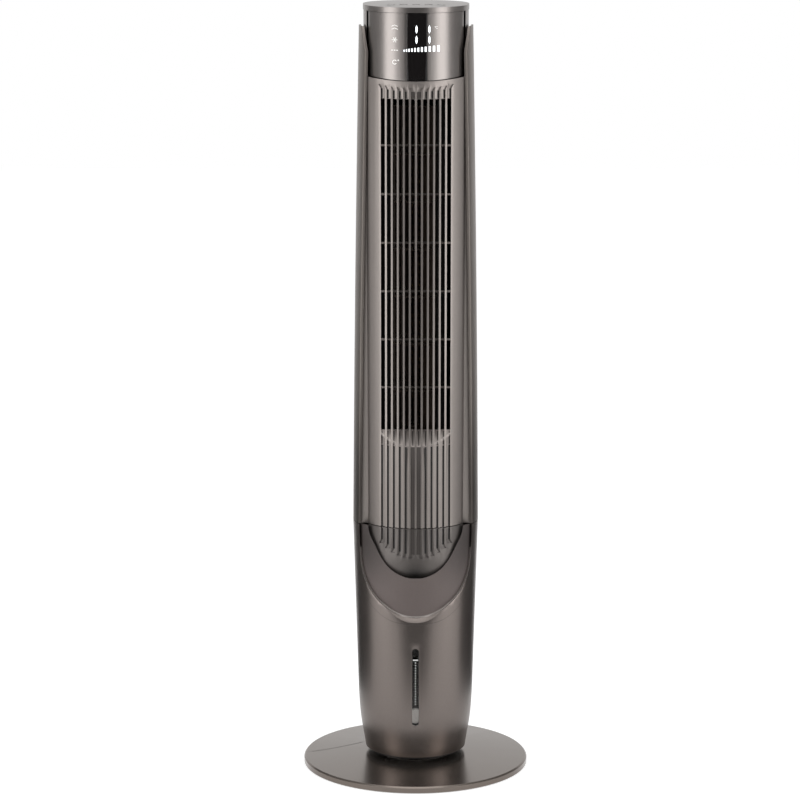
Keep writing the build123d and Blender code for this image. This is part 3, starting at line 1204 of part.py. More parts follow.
# the panel has a window behind the strip, for the lit figures
with BuildPart() as display_panel:
    add(head_ring.part)
    add(panel_front.part, mode=Mode.INTERSECT)
    add(front_strip(RUN), mode=Mode.SUBTRACT)
    block(GLASS_X - LIT_HALF_WIDTH, GLASS_X + LIT_HALF_WIDTH, -ALL, 0,
          DISPLAY_BOTTOM + 8, DISPLAY_TOP - 4, Mode.SUBTRACT)
    for x in (-DISPLAY_HALF_WIDTH + 3, DISPLAY_HALF_WIDTH - 3):
        for z in (DISPLAY_BOTTOM + 3, DISPLAY_TOP - 3):
            with Locations((x, DISPLAY_Y - DISPLAY_POST / 2, z)):
                Cylinder(2, DISPLAY_POST, rotation=(90, 0, 0))
save(display_panel.part, "display_panel")
save(front_strip(0), "display_window")

with BuildPart() as display_board:
    block(-DISPLAY_HALF_WIDTH, DISPLAY_HALF_WIDTH, DISPLAY_Y, DISPLAY_Y + BOARD_THICKNESS,
          DISPLAY_BOTTOM, DISPLAY_TOP)
    block(GLASS_X - LIT_HALF_WIDTH + 1, GLASS_X + LIT_HALF_WIDTH - 1, DISPLAY_Y - LAMP_DEPTH,
          DISPLAY_Y, DISPLAY_BOTTOM + 14, DISPLAY_TOP - 8)
save(display_board.part, "display_board")

with BuildPart() as head_housing:
    add(head_ring.part)
    block(-slot_edge, slot_edge, -ALL, 0, 0, 6 * ALL, Mode.SUBTRACT)
    block(-ALL, ALL, -ALL, SHOULDER_BACK_Y + CLEAR, 0, DRUM_TOP_EDGE + 1, Mode.SUBTRACT)
    # ledges behind the slots, which carry the front panel
    add(head_ledges.part)
save(head_housing.part, "head_housing")

button_positions = [(i - (BUTTON_COUNT - 1) / 2) * BUTTON_PITCH for i in range(BUTTON_COUNT)]
with BuildPart() as top_cap:
    add(head_body(-CAP_OVERHANG, HEAD_TOP + CLEAR, CAP_RIM_TOP))
    for z, inset in ((CAP_RIM_TOP, 1 - CAP_OVERHANG), (TOTAL_HEIGHT, CAP_DOME_INSET)):
        with BuildSketch(Plane.XY.offset(z)):
            with BuildLine():
                Spline(*section_points(HEAD_HALF_WIDTH - inset, HEAD_FRONT - inset,
                                       HEAD_BACK - inset, HEAD_SQUARENESS), periodic=True)
            make_face()
    loft()
    add(head_body(SKIN, HEAD_TOP, CAP_CEILING), mode=Mode.SUBTRACT)
    for x in button_positions:
        post(x, BUTTON_Y, HEAD_TOP, TOTAL_HEIGHT + 1, BUTTON_RADIUS + CLEAR, Mode.SUBTRACT)
    # posts that carry the control board
    for x in (-CONTROL_HALF_WIDTH + 3, CONTROL_HALF_WIDTH - 3):
        for y in (BUTTON_Y - CONTROL_HALF_DEPTH + 3, BUTTON_Y + CONTROL_HALF_DEPTH - 3):
            post(x, y, CONTROL_BOARD_Z + BOARD_THICKNESS, CAP_CEILING + 1, 2.5)
save(top_cap.part, "top_cap")

flange_top = CAP_CEILING - CLEAR
flange_bottom = flange_top - BUTTON_FLANGE
switch_top = flange_bottom - BUTTON_TRAVEL - CLEAR
with BuildPart() as control_board:
    block(-CONTROL_HALF_WIDTH, CONTROL_HALF_WIDTH, BUTTON_Y - CONTROL_HALF_DEPTH,
          BUTTON_Y + CONTROL_HALF_DEPTH, CONTROL_BOARD_Z, CONTROL_BOARD_Z + BOARD_THICKNESS)
    for x in button_positions:
        block(x - SWITCH_SIZE / 2, x + SWITCH_SIZE / 2, BUTTON_Y - SWITCH_SIZE / 2,
              BUTTON_Y + SWITCH_SIZE / 2, CONTROL_BOARD_Z + BOARD_THICKNESS, switch_top)
save(control_board.part, "control_board")

button_names = ("power_button", "speed_button", "mode_button", "swing_button", "timer_button")
for x, name in zip(button_positions, button_names):
    with BuildPart() as button:
        post(x, BUTTON_Y, flange_bottom, flange_top, BUTTON_RADIUS + 1.3)
        post(x, BUTTON_Y, flange_top, BUTTON_TOP, BUTTON_RADIUS)
        fillet(button.faces().sort_by(Axis.Z)[-1].edges(), 0.4)
    save(button.part, name)
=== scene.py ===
"""Looks of an evaporative tower fan: camera, studio, finishes, softened shells and display."""

import json
import math

import bmesh
import bpy
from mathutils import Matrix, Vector
from mathutils.bvhtree import BVHTree

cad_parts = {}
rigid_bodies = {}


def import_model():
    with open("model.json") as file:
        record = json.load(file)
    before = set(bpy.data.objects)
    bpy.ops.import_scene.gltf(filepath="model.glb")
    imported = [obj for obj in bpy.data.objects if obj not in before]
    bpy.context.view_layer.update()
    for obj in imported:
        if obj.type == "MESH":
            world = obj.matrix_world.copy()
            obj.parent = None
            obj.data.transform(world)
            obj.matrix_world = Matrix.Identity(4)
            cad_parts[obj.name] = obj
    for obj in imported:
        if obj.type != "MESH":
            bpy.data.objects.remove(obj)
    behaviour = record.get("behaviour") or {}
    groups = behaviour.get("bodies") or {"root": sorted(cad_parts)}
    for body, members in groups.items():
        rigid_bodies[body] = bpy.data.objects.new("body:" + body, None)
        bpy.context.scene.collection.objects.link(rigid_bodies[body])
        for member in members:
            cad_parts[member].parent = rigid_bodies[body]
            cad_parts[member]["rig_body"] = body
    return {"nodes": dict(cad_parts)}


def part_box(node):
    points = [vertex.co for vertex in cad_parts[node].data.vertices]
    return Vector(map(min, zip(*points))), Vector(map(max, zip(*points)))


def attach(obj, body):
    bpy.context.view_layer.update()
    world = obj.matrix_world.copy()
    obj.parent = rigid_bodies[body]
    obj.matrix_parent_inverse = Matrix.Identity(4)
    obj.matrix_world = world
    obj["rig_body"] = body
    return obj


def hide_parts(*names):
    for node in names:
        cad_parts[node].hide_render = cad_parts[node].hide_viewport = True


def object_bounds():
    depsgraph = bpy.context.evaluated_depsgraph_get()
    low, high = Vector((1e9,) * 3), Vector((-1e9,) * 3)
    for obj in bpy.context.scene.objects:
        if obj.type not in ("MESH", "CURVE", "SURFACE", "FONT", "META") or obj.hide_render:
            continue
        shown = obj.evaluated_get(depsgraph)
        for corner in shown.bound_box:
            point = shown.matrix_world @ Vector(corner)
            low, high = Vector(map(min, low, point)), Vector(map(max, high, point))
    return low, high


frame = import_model()
cad_low, cad_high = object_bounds()

MM = 0.001
HEIGHT = cad_high.z

# ---------------------------------------------------------------- camera
CAMERA_PLACE = Vector((0.0, -4.40, 1.388))
CAMERA_PITCH = math.radians(11.094)
CAMERA_YAW = math.radians(0.287)
CAMERA_LENS = 143.9
CAMERA_SENSOR = 36.0

# ---------------------------------------------------------------- studio
# Azimuths run from the fan's front, in plan. Greys are the tones of the cards.
STRIP_AZIMUTH = math.radians(57)
STRIP_DISTANCE = 1.7
STRIP_WIDTH = 1.00
STRIP_HEIGHT = 1.9
STRIP_POWER = 16.5
TOP_LAMP_PLACE = (0, -0.5, 3.2)
TOP_LAMP_SIZE = 2.2
TOP_POWER = 20.0
WORLD_FILL = 0.55
FRONT_CARD_DISTANCE = 5.0
FRONT_CARD_WIDTH = 4.4
FRONT_CARD_HEIGHT = 5.0
FRONT_CARD_GREY = 0.20
SIDE_CARD_AZIMUTH = math.radians(101)
SIDE_CARD_DISTANCE = 1.5
SIDE_CARD_WIDTH = 1.75
SIDE_CARD_HEIGHT = 3.2
SIDE_CARD_GREY = 0.45
FLOOR_LIFT = 0.62
FLOOR_CARD_HEIGHT = 0.002
FLOOR_CARD_NEAR = 0.42
FLOOR_CARD_FAR = 5.0
FRONT_FLOOR_SPREAD = math.radians(19)
FRONT_FLOOR_GREY = 0.12
SIDE_FLOOR_START = math.radians(88)
SIDE_FLOOR_END = math.radians(150)
SIDE_FLOOR_GREY = 0.08
FLOOR_SIZE = 14.0


def new_camera():
    """Puts the scene's camera in front of the fan, looking slightly down."""
    lens = bpy.data.cameras.new("studio_camera")
    lens.lens = CAMERA_LENS
    lens.sensor_width = CAMERA_SENSOR
    camera = bpy.data.objects.new("studio_camera", lens)
    camera.location = CAMERA_PLACE
    camera.rotation_euler = (math.pi / 2 - CAMERA_PITCH, 0, CAMERA_YAW)
    bpy.context.scene.collection.objects.link(camera)
    bpy.context.scene.camera = camera


def new_area_light(name, place, target, width, height, power):
    """Adds a soft rectangular lamp that points at target."""
    lamp = bpy.data.lights.new(name, "AREA")
    lamp.shape = "RECTANGLE"
    lamp.size = width
    lamp.size_y = height
    lamp.energy = power
    holder = bpy.data.objects.new(name, lamp)
    holder.location = place
    holder.rotation_euler = (Vector(target) - Vector(place)).to_track_quat("-Z", "Y").to_euler()
    holder.visible_camera = False
    bpy.context.scene.collection.objects.link(holder)


def around(azimuth, distance, z):
    """A place at an azimuth from the fan's front, in plan."""
    return Vector((distance * math.sin(azimuth), -distance * math.cos(azimuth), z))


# ---------------------------------------------------------------- node helpers
def add(tree, kind, inputs=None, **settings):
    """Adds a shader node, sets its options and its unlinked sockets."""
    made = tree.nodes.new(kind)
    for name, value in settings.items():
        setattr(made, name, value)
    for name, value in (inputs or {}).items():
        made.inputs[name].default_value = value
    return made


def join(tree, source, target):
    """Links an output socket to an input socket."""
    tree.links.new(source, target)


def new_group(name, inputs, outputs):
    """Starts a node group with named sockets."""
    group = bpy.data.node_groups.new(name, "ShaderNodeTree")
    for label, kind, value in inputs:
        made = group.interface.new_socket(label, in_out="INPUT", socket_type="NodeSocket" + kind)
        made.default_value = value
    for label, kind in outputs:
        group.interface.new_socket(label, in_out="OUTPUT", socket_type="NodeSocket" + kind)
    return group, group.nodes.new("NodeGroupInput"), group.nodes.new("NodeGroupOutput")


def place_group(tree, group, inputs=None):
    """Puts a node group in a material."""
    made = tree.nodes.new("ShaderNodeGroup")
    made.node_tree = group
    for name, value in (inputs or {}).items():
        made.inputs[name].default_value = value
    return made


def math_node(tree, operation, first, second):
    """A math node whose two values are sockets or numbers."""
    made = tree.nodes.new("ShaderNodeMath")
    made.operation = operation
    for socket, value in zip(made.inputs, (first, second)):
        if isinstance(value, (int, float)):
            socket.default_value = value
        else:
            join(tree, value, socket)
    return made.outputs["Value"]


# ---------------------------------------------------------------- shared effects
def flake_paint_group():
    """Colour and height of a sprayed paint with fine metal flake and orange peel."""
    group, given, out = new_group(
        "flake_paint",
        [("Colour", "Color", (0.1, 0.1, 0.1, 1)), ("Flake", "Float", 0.2),
         ("Flake Scale", "Float", 2200.0), ("Mottle", "Float", 0.05)],
        [("Colour", "Color"), ("Height", "Float")])
    where = add(group, "ShaderNodeTexCoord")
    flake = add(group, "ShaderNodeTexVoronoi", {"Randomness": 1.0})
    join(group, where.outputs["Object"], flake.inputs["Vector"])
    join(group, given.outputs["Flake Scale"], flake.inputs["Scale"])
    cloud = add(group, "ShaderNodeTexNoise", {"Scale": 7.0, "Detail": 4.0})
    join(group, where.outputs["Object"], cloud.inputs["Vector"])
    peel = add(group, "ShaderNodeTexNoise", {"Scale": 620.0, "Detail": 2.0})
    join(group, where.outputs["Object"], peel.inputs["Vector"])
    split = add(group, "ShaderNodeSeparateColor")
    join(group, flake.outputs["Color"], split.inputs["Color"])
    sparkle = math_node(group, "SUBTRACT", split.outputs["Red"], 0.5)
    sparkle = math_node(group, "MULTIPLY", sparkle, given.outputs["Flake"])
    drift = math_node(group, "SUBTRACT", cloud.outputs["Fac"], 0.5)
    drift = math_node(group, "MULTIPLY", drift, given.outputs["Mottle"])
    tone = math_node(group, "ADD", sparkle, drift)
    tone = math_node(group, "ADD", tone, 1.0)
    tinted = add(group, "ShaderNodeVectorMath", operation="SCALE")
    join(group, given.outputs["Colour"], tinted.inputs[0])
    join(group, tone, tinted.inputs["Scale"])
    join(group, tinted.outputs["Vector"], out.inputs["Colour"])
    join(group, peel.outputs["Fac"], out.inputs["Height"])
    return group


def moulded_grain_group():
    """Colour and height of a plastic moulding with a fine spark-eroded grain."""
    group, given, out = new_group(
        "moulded_grain",
        [("Colour", "Color", (0.1, 0.1, 0.1, 1)), ("Grain Scale", "Float", 1500.0),
         ("Mottle", "Float", 0.1)],
        [("Colour", "Color"), ("Height", "Float")])
    where = add(group, "ShaderNodeTexCoord")
    grain = add(group, "ShaderNodeTexNoise", {"Detail": 3.0, "Roughness": 0.6})
    join(group, where.outputs["Object"], grain.inputs["Vector"])
    join(group, given.outputs["Grain Scale"], grain.inputs["Scale"])
    flow = add(group, "ShaderNodeTexNoise", {"Scale": 22.0, "Detail": 5.0, "Distortion": 0.6})
    join(group, where.outputs["Object"], flow.inputs["Vector"])
    drift = math_node(group, "SUBTRACT", flow.outputs["Fac"], 0.5)
    drift = math_node(group, "MULTIPLY", drift, given.outputs["Mottle"])
    speck = math_node(group, "SUBTRACT", grain.outputs["Fac"], 0.5)
    speck = math_node(group, "MULTIPLY", speck, given.outputs["Mottle"])
    tone = math_node(group, "ADD", drift, speck)
    tone = math_node(group, "ADD", tone, 1.0)
    tinted = add(group, "ShaderNodeVectorMath", operation="SCALE")
    join(group, given.outputs["Colour"], tinted.inputs[0])
    join(group, tone, tinted.inputs["Scale"])
    join(group, tinted.outputs["Vector"], out.inputs["Colour"])
    join(group, grain.outputs["Fac"], out.inputs["Height"])
    return group


def handling_group():
    """Roughness broken up by faint wiping marks, and a mask of dust on what faces up."""
    group, given, out = new_group(
        "handling",
        [("Roughness", "Float", 0.4), ("Smudge", "Float", 0.1), ("Dust", "Float", 0.1)],
        [("Roughness", "Float"), ("Dust", "Float")])
    where = add(group, "ShaderNodeTexCoord")
    wiped = add(group, "ShaderNodeTexNoise", {"Scale": 16.0, "Detail": 6.0, "Distortion": 1.2})
    join(group, where.outputs["Object"], wiped.inputs["Vector"])
    smudge = math_node(group, "SUBTRACT", wiped.outputs["Fac"], 0.5)
    smudge = math_node(group, "MULTIPLY", smudge, given.outputs["Smudge"])
    rough = math_node(group, "ADD", given.outputs["Roughness"], smudge)
    facing = add(group, "ShaderNodeNewGeometry")
    split = add(group, "ShaderNodeSeparateXYZ")
    join(group, facing.outputs["Normal"], split.inputs["Vector"])
    up = math_node(group, "MAXIMUM", split.outputs["Z"], 0.0)
    up = math_node(group, "POWER", up, 3.0)
    motes = add(group, "ShaderNodeTexNoise", {"Scale": 260.0, "Detail": 5.0})
    join(group, where.outputs["Object"], motes.inputs["Vector"])
    dust = math_node(group, "MULTIPLY", up, motes.outputs["Fac"])
    dust = math_node(group, "MULTIPLY", dust, given.outputs["Dust"])
    dusty = math_node(group, "MULTIPLY", dust, 0.5)
    rough = math_node(group, "ADD", rough, dusty)
    join(group, rough, out.inputs["Roughness"])
    join(group, dust, out.inputs["Dust"])
    return group


def brushed_group():
    """Height and tone of metal brushed along one direction."""
    group, given, out = new_group(
        "brushed", [("Colour", "Color", (0.5, 0.5, 0.5, 1)), ("Stretch", "Vector", (40, 40, 900))],
        [("Colour", "Color"), ("Height", "Float")])
    where = add(group, "ShaderNodeTexCoord")
    pulled = add(group, "ShaderNodeVectorMath", operation="MULTIPLY")
    join(group, where.outputs["Object"], pulled.inputs[0])
    join(group, given.outputs["Stretch"], pulled.inputs[1])
    lines = add(group, "ShaderNodeTexNoise", {"Scale": 1.0, "Detail": 4.0})
    join(group, pulled.outputs["Vector"], lines.inputs["Vector"])
    tone = math_node(group, "MULTIPLY", lines.outputs["Fac"], 0.35)
    tone = math_node(group, "ADD", tone, 0.82)
    tinted = add(group, "ShaderNodeVectorMath", operation="SCALE")
    join(group, given.outputs["Colour"], tinted.inputs[0])
    join(group, tone, tinted.inputs["Scale"])
    join(group, tinted.outputs["Vector"], out.inputs["Colour"])
    join(group, lines.outputs["Fac"], out.inputs["Height"])
    return group


FLAKE_PAINT = flake_paint_group()
MOULDED_GRAIN = moulded_grain_group()
HANDLING = handling_group()
BRUSHED = brushed_group()
DUST_COLOUR = (0.42, 0.40, 0.37, 1)


def start_material(name, **constants):
    """A material with a bare Principled BSDF whose constant sockets are set."""
    material = bpy.data.materials.new(name)
    material.use_nodes = True
    shader = material.node_tree.nodes["Principled BSDF"]
    for label, value in constants.items():
        shader.inputs[label.replace("_", " ")].default_value = value
    return material, material.node_tree, shader


def dress(tree, shader, pattern, height_mm, roughness, smudge, dust):
    """Feeds a pattern group's colour and height and the handling group to the shader."""
    handled = place_group(tree, HANDLING, {"Roughness": roughness, "Smudge": smudge, "Dust": dust})
    dusted = add(tree, "ShaderNodeMix", data_type="RGBA")
    join(tree, handled.outputs["Dust"], dusted.inputs["Factor"])
    join(tree, pattern.outputs["Colour"], dusted.inputs[6])
    dusted.inputs[7].default_value = DUST_COLOUR
    join(tree, dusted.outputs[2], shader.inputs["Base Color"])
    join(tree, handled.outputs["Roughness"], shader.inputs["Roughness"])
    bump = add(tree, "ShaderNodeBump", {"Strength": 0.35, "Distance": height_mm * MM})
    join(tree, pattern.outputs["Height"], bump.inputs["Height"])
    join(tree, bump.outputs["Normal"], shader.inputs["Normal"])


def painted_light_and_shade_group():
    """Painted light and shade: a colour brought smoothly to another tone round a middle, over a
    reach on each axis.
    """
    group, start, end = new_group(
        "painted_light_and_shade", (("Colour", "Color", (1, 1, 1, 1)), ("Middle", "Vector", (0, 0, 0)),
                  ("Reach", "Vector", (1, 1, 1)), ("Tone", "Float", 1.0)), (("Colour", "Color"),))
    where = add(group, "ShaderNodeTexCoord")
    offset = add(group, "ShaderNodeVectorMath", operation="SUBTRACT")
    join(group, where.outputs["Object"], offset.inputs[0])
    join(group, start.outputs["Middle"], offset.inputs[1])
    scaled = add(group, "ShaderNodeVectorMath", operation="DIVIDE")
    join(group, offset.outputs["Vector"], scaled.inputs[0])
    join(group, start.outputs["Reach"], scaled.inputs[1])
    distance = add(group, "ShaderNodeVectorMath", operation="LENGTH")
    join(group, scaled.outputs["Vector"], distance.inputs[0])
    fade = add(group, "ShaderNodeMapRange", interpolation_type="SMOOTHSTEP")
    join(group, distance.outputs["Value"], fade.inputs["Value"])
    join(group, start.outputs["Tone"], fade.inputs["To Min"])
    faded = add(group, "ShaderNodeVectorMath", operation="SCALE")
    join(group, start.outputs["Colour"], faded.inputs[0])
    join(group, fade.outputs["Result"], faded.inputs["Scale"])
    join(group, faded.outputs["Vector"], end.inputs["Colour"])
    return group


PAINTED_LIGHT_AND_SHADE_NODES = painted_light_and_shade_group()


def paint(name, colour, roughness, metallic, flake, painted_lights_and_shades=()):
    """Sprayed metallic paint on a moulded shell, with painted shade and highlights of (middle,
    reach, tone).
    """
    material, tree, shader = start_material(name, Metallic=metallic)
    pattern = place_group(tree, FLAKE_PAINT, {"Colour": colour + (1,), "Flake": flake})
    dress(tree, shader, pattern, height_mm=0.02, roughness=roughness, smudge=0.05, dust=0.10)
    # each entry paints shade where its tone is under 1, and a highlight where it is over 1
    for middle, reach, tone in painted_lights_and_shades:
        bare = shader.inputs["Base Color"].links[0].from_socket
        painted_light_and_shade = place_group(tree, PAINTED_LIGHT_AND_SHADE_NODES, {"Middle": middle, "Reach": reach, "Tone": tone})
        join(tree, bare, painted_light_and_shade.inputs["Colour"])
        join(tree, painted_light_and_shade.outputs["Colour"], shader.inputs["Base Color"])
    return material


def plastic(name, colour, roughness, grain=1500.0, mottle=0.12, depth=0.03, **constants):
    """Moulded plastic or rubber with a fine grain."""
    material, tree, shader = start_material(name, **constants)
    pattern = place_group(tree, MOULDED_GRAIN,
                          {"Colour": colour + (1,), "Grain Scale": grain, "Mottle": mottle})
    dress(tree, shader, pattern, height_mm=depth, roughness=roughness, smudge=0.10, dust=0.15)
    return material


def metal(name, colour, roughness):
    """Bare metal with brushing."""
    material, tree, shader = start_material(name, Metallic=1.0)
    pattern = place_group(tree, BRUSHED, {"Colour": colour + (1,)})
    dress(tree, shader, pattern, height_mm=0.01, roughness=roughness, smudge=0.12, dust=0.05)
    return material


def clear_plastic(name, colour, roughness, ior):
    """See-through plastic with faint flow marks in its polish."""
    material, tree, shader = start_material(name, Transmission_Weight=1.0, IOR=ior)
    pattern = place_group(tree, MOULDED_GRAIN,
                          {"Colour": colour + (1,), "Grain Scale": 90.0, "Mottle": 0.05})
    dress(tree, shader, pattern, height_mm=0.004, roughness=roughness, smudge=0.06, dust=0.02)
    return material


def circuit_board():
    """Green solder mask over a faint pattern of copper tracks."""
    material, tree, shader = start_material("circuit_board")
    where = add(tree, "ShaderNodeTexCoord")
    tracks = add(tree, "ShaderNodeTexBrick",
                 {"Color1": (0.01, 0.11, 0.04, 1), "Color2": (0.015, 0.14, 0.05, 1),
                  "Mortar": (0.05, 0.26, 0.10, 1), "Scale": 160.0, "Mortar Size": 0.03})
    join(tree, where.outputs["Object"], tracks.inputs["Vector"])
    join(tree, tracks.outputs["Color"], shader.inputs["Base Color"])
    handled = place_group(tree, HANDLING, {"Roughness": 0.35, "Smudge": 0.1, "Dust": 0.1})
    join(tree, handled.outputs["Roughness"], shader.inputs["Roughness"])
    bump = add(tree, "ShaderNodeBump", {"Strength": 0.5, "Distance": 0.05 * MM})
    join(tree, tracks.outputs["Fac"], bump.inputs["Height"])
    join(tree, bump.outputs["Normal"], shader.inputs["Normal"])
    return material


def wet_fibre_pad():
    """Corrugated cellulose cooling pad: slanting flutes with fibrous colour, and painted shade
    down in the flutes.
    """
    material, tree, shader = start_material("wet_fibre_pad")
    where = add(tree, "ShaderNodeTexCoord")
    flutes = add(tree, "ShaderNodeTexWave",
                 {"Scale": 60.0, "Distortion": 1.5, "Detail": 2.0, "Detail Scale": 3.0},
                 wave_type="BANDS", bands_direction="DIAGONAL")
    join(tree, where.outputs["Object"], flutes.inputs["Vector"])
    fibres = add(tree, "ShaderNodeTexNoise", {"Scale": 900.0, "Detail": 6.0})
    join(tree, where.outputs["Object"], fibres.inputs["Vector"])
    depth = math_node(tree, "MULTIPLY", fibres.outputs["Fac"], 0.4)
    depth = math_node(tree, "ADD", depth, flutes.outputs["Fac"])
    # colour follows the flutes' height: painted shade dark down in the flutes, over the fibres'
    # own tone
    ramp = add(tree, "ShaderNodeValToRGB")
    ramp.color_ramp.elements[0].color = (0.07, 0.045, 0.02, 1)
    ramp.color_ramp.elements[1].color = (0.42, 0.32, 0.18, 1)
    join(tree, depth, ramp.inputs["Fac"])
    join(tree, ramp.outputs["Color"], shader.inputs["Base Color"])
    shader.inputs["Roughness"].default_value = 0.95
    bump = add(tree, "ShaderNodeBump", {"Strength": 0.9, "Distance": 1.2 * MM})
    join(tree, depth, bump.inputs["Height"])
    join(tree, bump.outputs["Normal"], shader.inputs["Normal"])
    return material


def woven_dust_filter():
    """Nylon mesh of the dust filter: two crossed sets of threads."""
    material, tree, shader = start_material("woven_dust_filter", Roughness=0.7)
    where = add(tree, "ShaderNodeTexCoord")
    heights = []
    for direction in ("X", "Z"):
        threads = add(tree, "ShaderNodeTexWave", {"Scale": 190.0},
                      wave_type="BANDS", bands_direction=direction)
        join(tree, where.outputs["Object"], threads.inputs["Vector"])
        heights.append(threads.outputs["Fac"])
    weave = math_node(tree, "MAXIMUM", heights[0], heights[1])
    ramp = add(tree, "ShaderNodeValToRGB")
    ramp.color_ramp.elements[0].color = (0.004, 0.004, 0.004, 1)
    ramp.color_ramp.elements[1].color = (0.07, 0.07, 0.075, 1)
    join(tree, weave, ramp.inputs["Fac"])
    join(tree, ramp.outputs["Color"], shader.inputs["Base Color"])
    bump = add(tree, "ShaderNodeBump", {"Strength": 0.8, "Distance": 0.25 * MM})
    join(tree, weave, bump.inputs["Height"])
    join(tree, bump.outputs["Normal"], shader.inputs["Normal"])
    return material


FAINTEST_GLOW = 0.8


def lit_print(name, colour, strength):
    """Figures that glow through the display, a little uneven like real diodes."""
    material, tree, shader = start_material(name, Roughness=0.4, Emission_Strength=strength)
    where = add(tree, "ShaderNodeTexCoord")
    uneven = add(tree, "ShaderNodeTexNoise", {"Scale": 240.0, "Detail": 2.0})
    join(tree, where.outputs["Object"], uneven.inputs["Vector"])
    ramp = add(tree, "ShaderNodeValToRGB")
    ramp.color_ramp.elements[0].color = tuple(FAINTEST_GLOW * part for part in colour) + (1,)
    ramp.color_ramp.elements[1].color = colour + (1,)
    join(tree, uneven.outputs["Fac"], ramp.inputs["Fac"])
    join(tree, ramp.outputs["Color"], shader.inputs["Base Color"])
    join(tree, ramp.outputs["Color"], shader.inputs["Emission Color"])
    return material


FINISHES = {
    "shell_paint": paint("graphite_satin_paint", (0.226, 0.201, 0.187),
                         roughness=0.47, metallic=0.92, flake=0.14),
    "head_paint": paint("graphite_gloss_paint", (0.224, 0.205, 0.195),
                        roughness=0.32, metallic=0.94, flake=0.08),
    "smoked_glass": plastic("smoked_acrylic", (0.006, 0.005, 0.005), 0.08,
                            grain=400.0, mottle=0.3, depth=0.002, Specular_IOR_Level=0.35),
    "dark_plastic": plastic("dark_moulding", (0.018, 0.017, 0.0165), 0.45),
    "impeller_plastic": plastic("impeller_moulding", (0.115, 0.085, 0.066), 0.45),
    "button_plastic": plastic("button_moulding", (0.10, 0.094, 0.088), 0.38),
    "clear_window": clear_plastic("level_window_plastic", (0.82, 0.80, 0.78),
                                  roughness=0.03, ior=1.22),
    "tank_plastic": clear_plastic("tank_plastic", (0.86, 0.87, 0.88), roughness=0.06, ior=1.12),
    # the float's foam glows faintly in its own colour: painted light, so it shows lit inside the
    # tank
    "float_plastic": plastic("float_foam_with_painted_glow", (0.80, 0.77, 0.74), 0.55, grain=700.0,
                             Emission_Strength=0.22, Emission_Color=(0.80, 0.77, 0.74, 1)),
    "rubber": plastic("foot_rubber", (0.012, 0.012, 0.012), 0.80,
                      grain=900.0, mottle=0.2, depth=0.08),
    "washer_plastic": plastic("acetal_washer", (0.70, 0.69, 0.66), 0.42),
    "gear_plastic": plastic("acetal_gear", (0.62, 0.60, 0.55), 0.38),
    "steel": metal("zinc_steel", (0.55, 0.55, 0.56), 0.32),
    "bronze": metal("sintered_bronze", (0.52, 0.34, 0.16), 0.38),
    "board": circuit_board(),
    "pump_plastic": plastic("pump_moulding", (0.02, 0.028, 0.04), 0.42),
    "silicone": plastic("silicone_tube", (0.55, 0.57, 0.58), 0.35, Subsurface_Weight=0.1),
    "pad_fibre": wet_fibre_pad(),
    "filter_mesh": woven_dust_filter(),
}

# Painted shade and highlights on the shells, each its middle and its reach in metres, and its
# tone.
# painted shade darkening the upper sides of the bib
BIB_PAINTED_SHADE = tuple(((side * 0.085, -0.09, 0.335), (0.085, 0.2, 0.090), 0.25) for side in (-1, 1))
# painted shade darkening the front of each side panel
SIDE_PAINTED_SHADE = tuple(((side * 0.073, -0.040, 0.39), (0.026, 0.05, 0.20), 0.38)
                    for side in (-1, 1))
# painted highlight lightening the foot of the housing's front
HOUSING_FOOT_PAINTED_HIGHLIGHT = ((0, -0.070, 0.036), (0.110, 0.2, 0.044), 1.45)
# painted shadow in the hollow under the nose
NOSE_POCKET_PAINTED_SHADOW = ((0, -0.09, 0.291), (0.030, 0.2, 0.022), 0.16)

BASE_PAINT = paint("base_gloss_paint", (0.158, 0.134, 0.118),
                   roughness=0.20, metallic=0.92, flake=0.10)
# the bib's matt paint carries the painted shade of its upper sides
BIB_PAINT = paint("bib_matt_paint", (0.124, 0.101, 0.095),
                  roughness=0.62, metallic=0.30, flake=0.16, painted_lights_and_shades=BIB_PAINTED_SHADE)
# the housing's paint carries that painted highlight
HOUSING_PAINT = paint("housing_satin_paint", (0.163, 0.141, 0.130),
                      roughness=0.34, metallic=0.93, flake=0.14, painted_lights_and_shades=(HOUSING_FOOT_PAINTED_HIGHLIGHT,))
DRUM_PAINT = paint("drum_satin_paint", (0.255, 0.229, 0.214),
                   roughness=0.47, metallic=0.92, flake=0.14)
# pale paint of the painted highlight along the bib's edge
PAINTED_BIB_EDGE_HIGHLIGHT = paint("painted_bib_edge_highlight", (0.310, 0.280, 0.265),
                       roughness=0.55, metallic=0.30, flake=0.05)
# the nose's paint carries that painted shadow
NOSE_PAINT = paint("nose_satin_paint", (0.104, 0.093, 0.087),
                   roughness=0.46, metallic=0.60, flake=0.16, painted_lights_and_shades=(NOSE_POCKET_PAINTED_SHADOW,))
# the side panels' paint carries that painted shade
SIDE_PAINT = paint("side_satin_paint", (0.222, 0.197, 0.180),
                   roughness=0.42, metallic=0.92, flake=0.14, painted_lights_and_shades=SIDE_PAINTED_SHADE)
LIT = lit_print("display_light", (0.92, 0.97, 1.0), strength=1.1)
DIM_LIT = lit_print("display_sign_light", (0.80, 0.79, 0.76), strength=0.36)
PRINT = lit_print("white_screen_print", (0.75, 0.75, 0.74), strength=0.0)
# near-black paint of the painted shade in the grooves
DARK_GROOVE_PAINTED_SHADE = plastic("dark_groove_painted_shade", (0.012, 0.010, 0.009), 0.60)
# dim paint of the painted shade in the middle grooves and on the sill, and of the fine dark seams
DIM_PAINTED_SHADE_AND_SEAM = plastic("dim_painted_shade_and_seam", (0.050, 0.042, 0.038), 0.50)

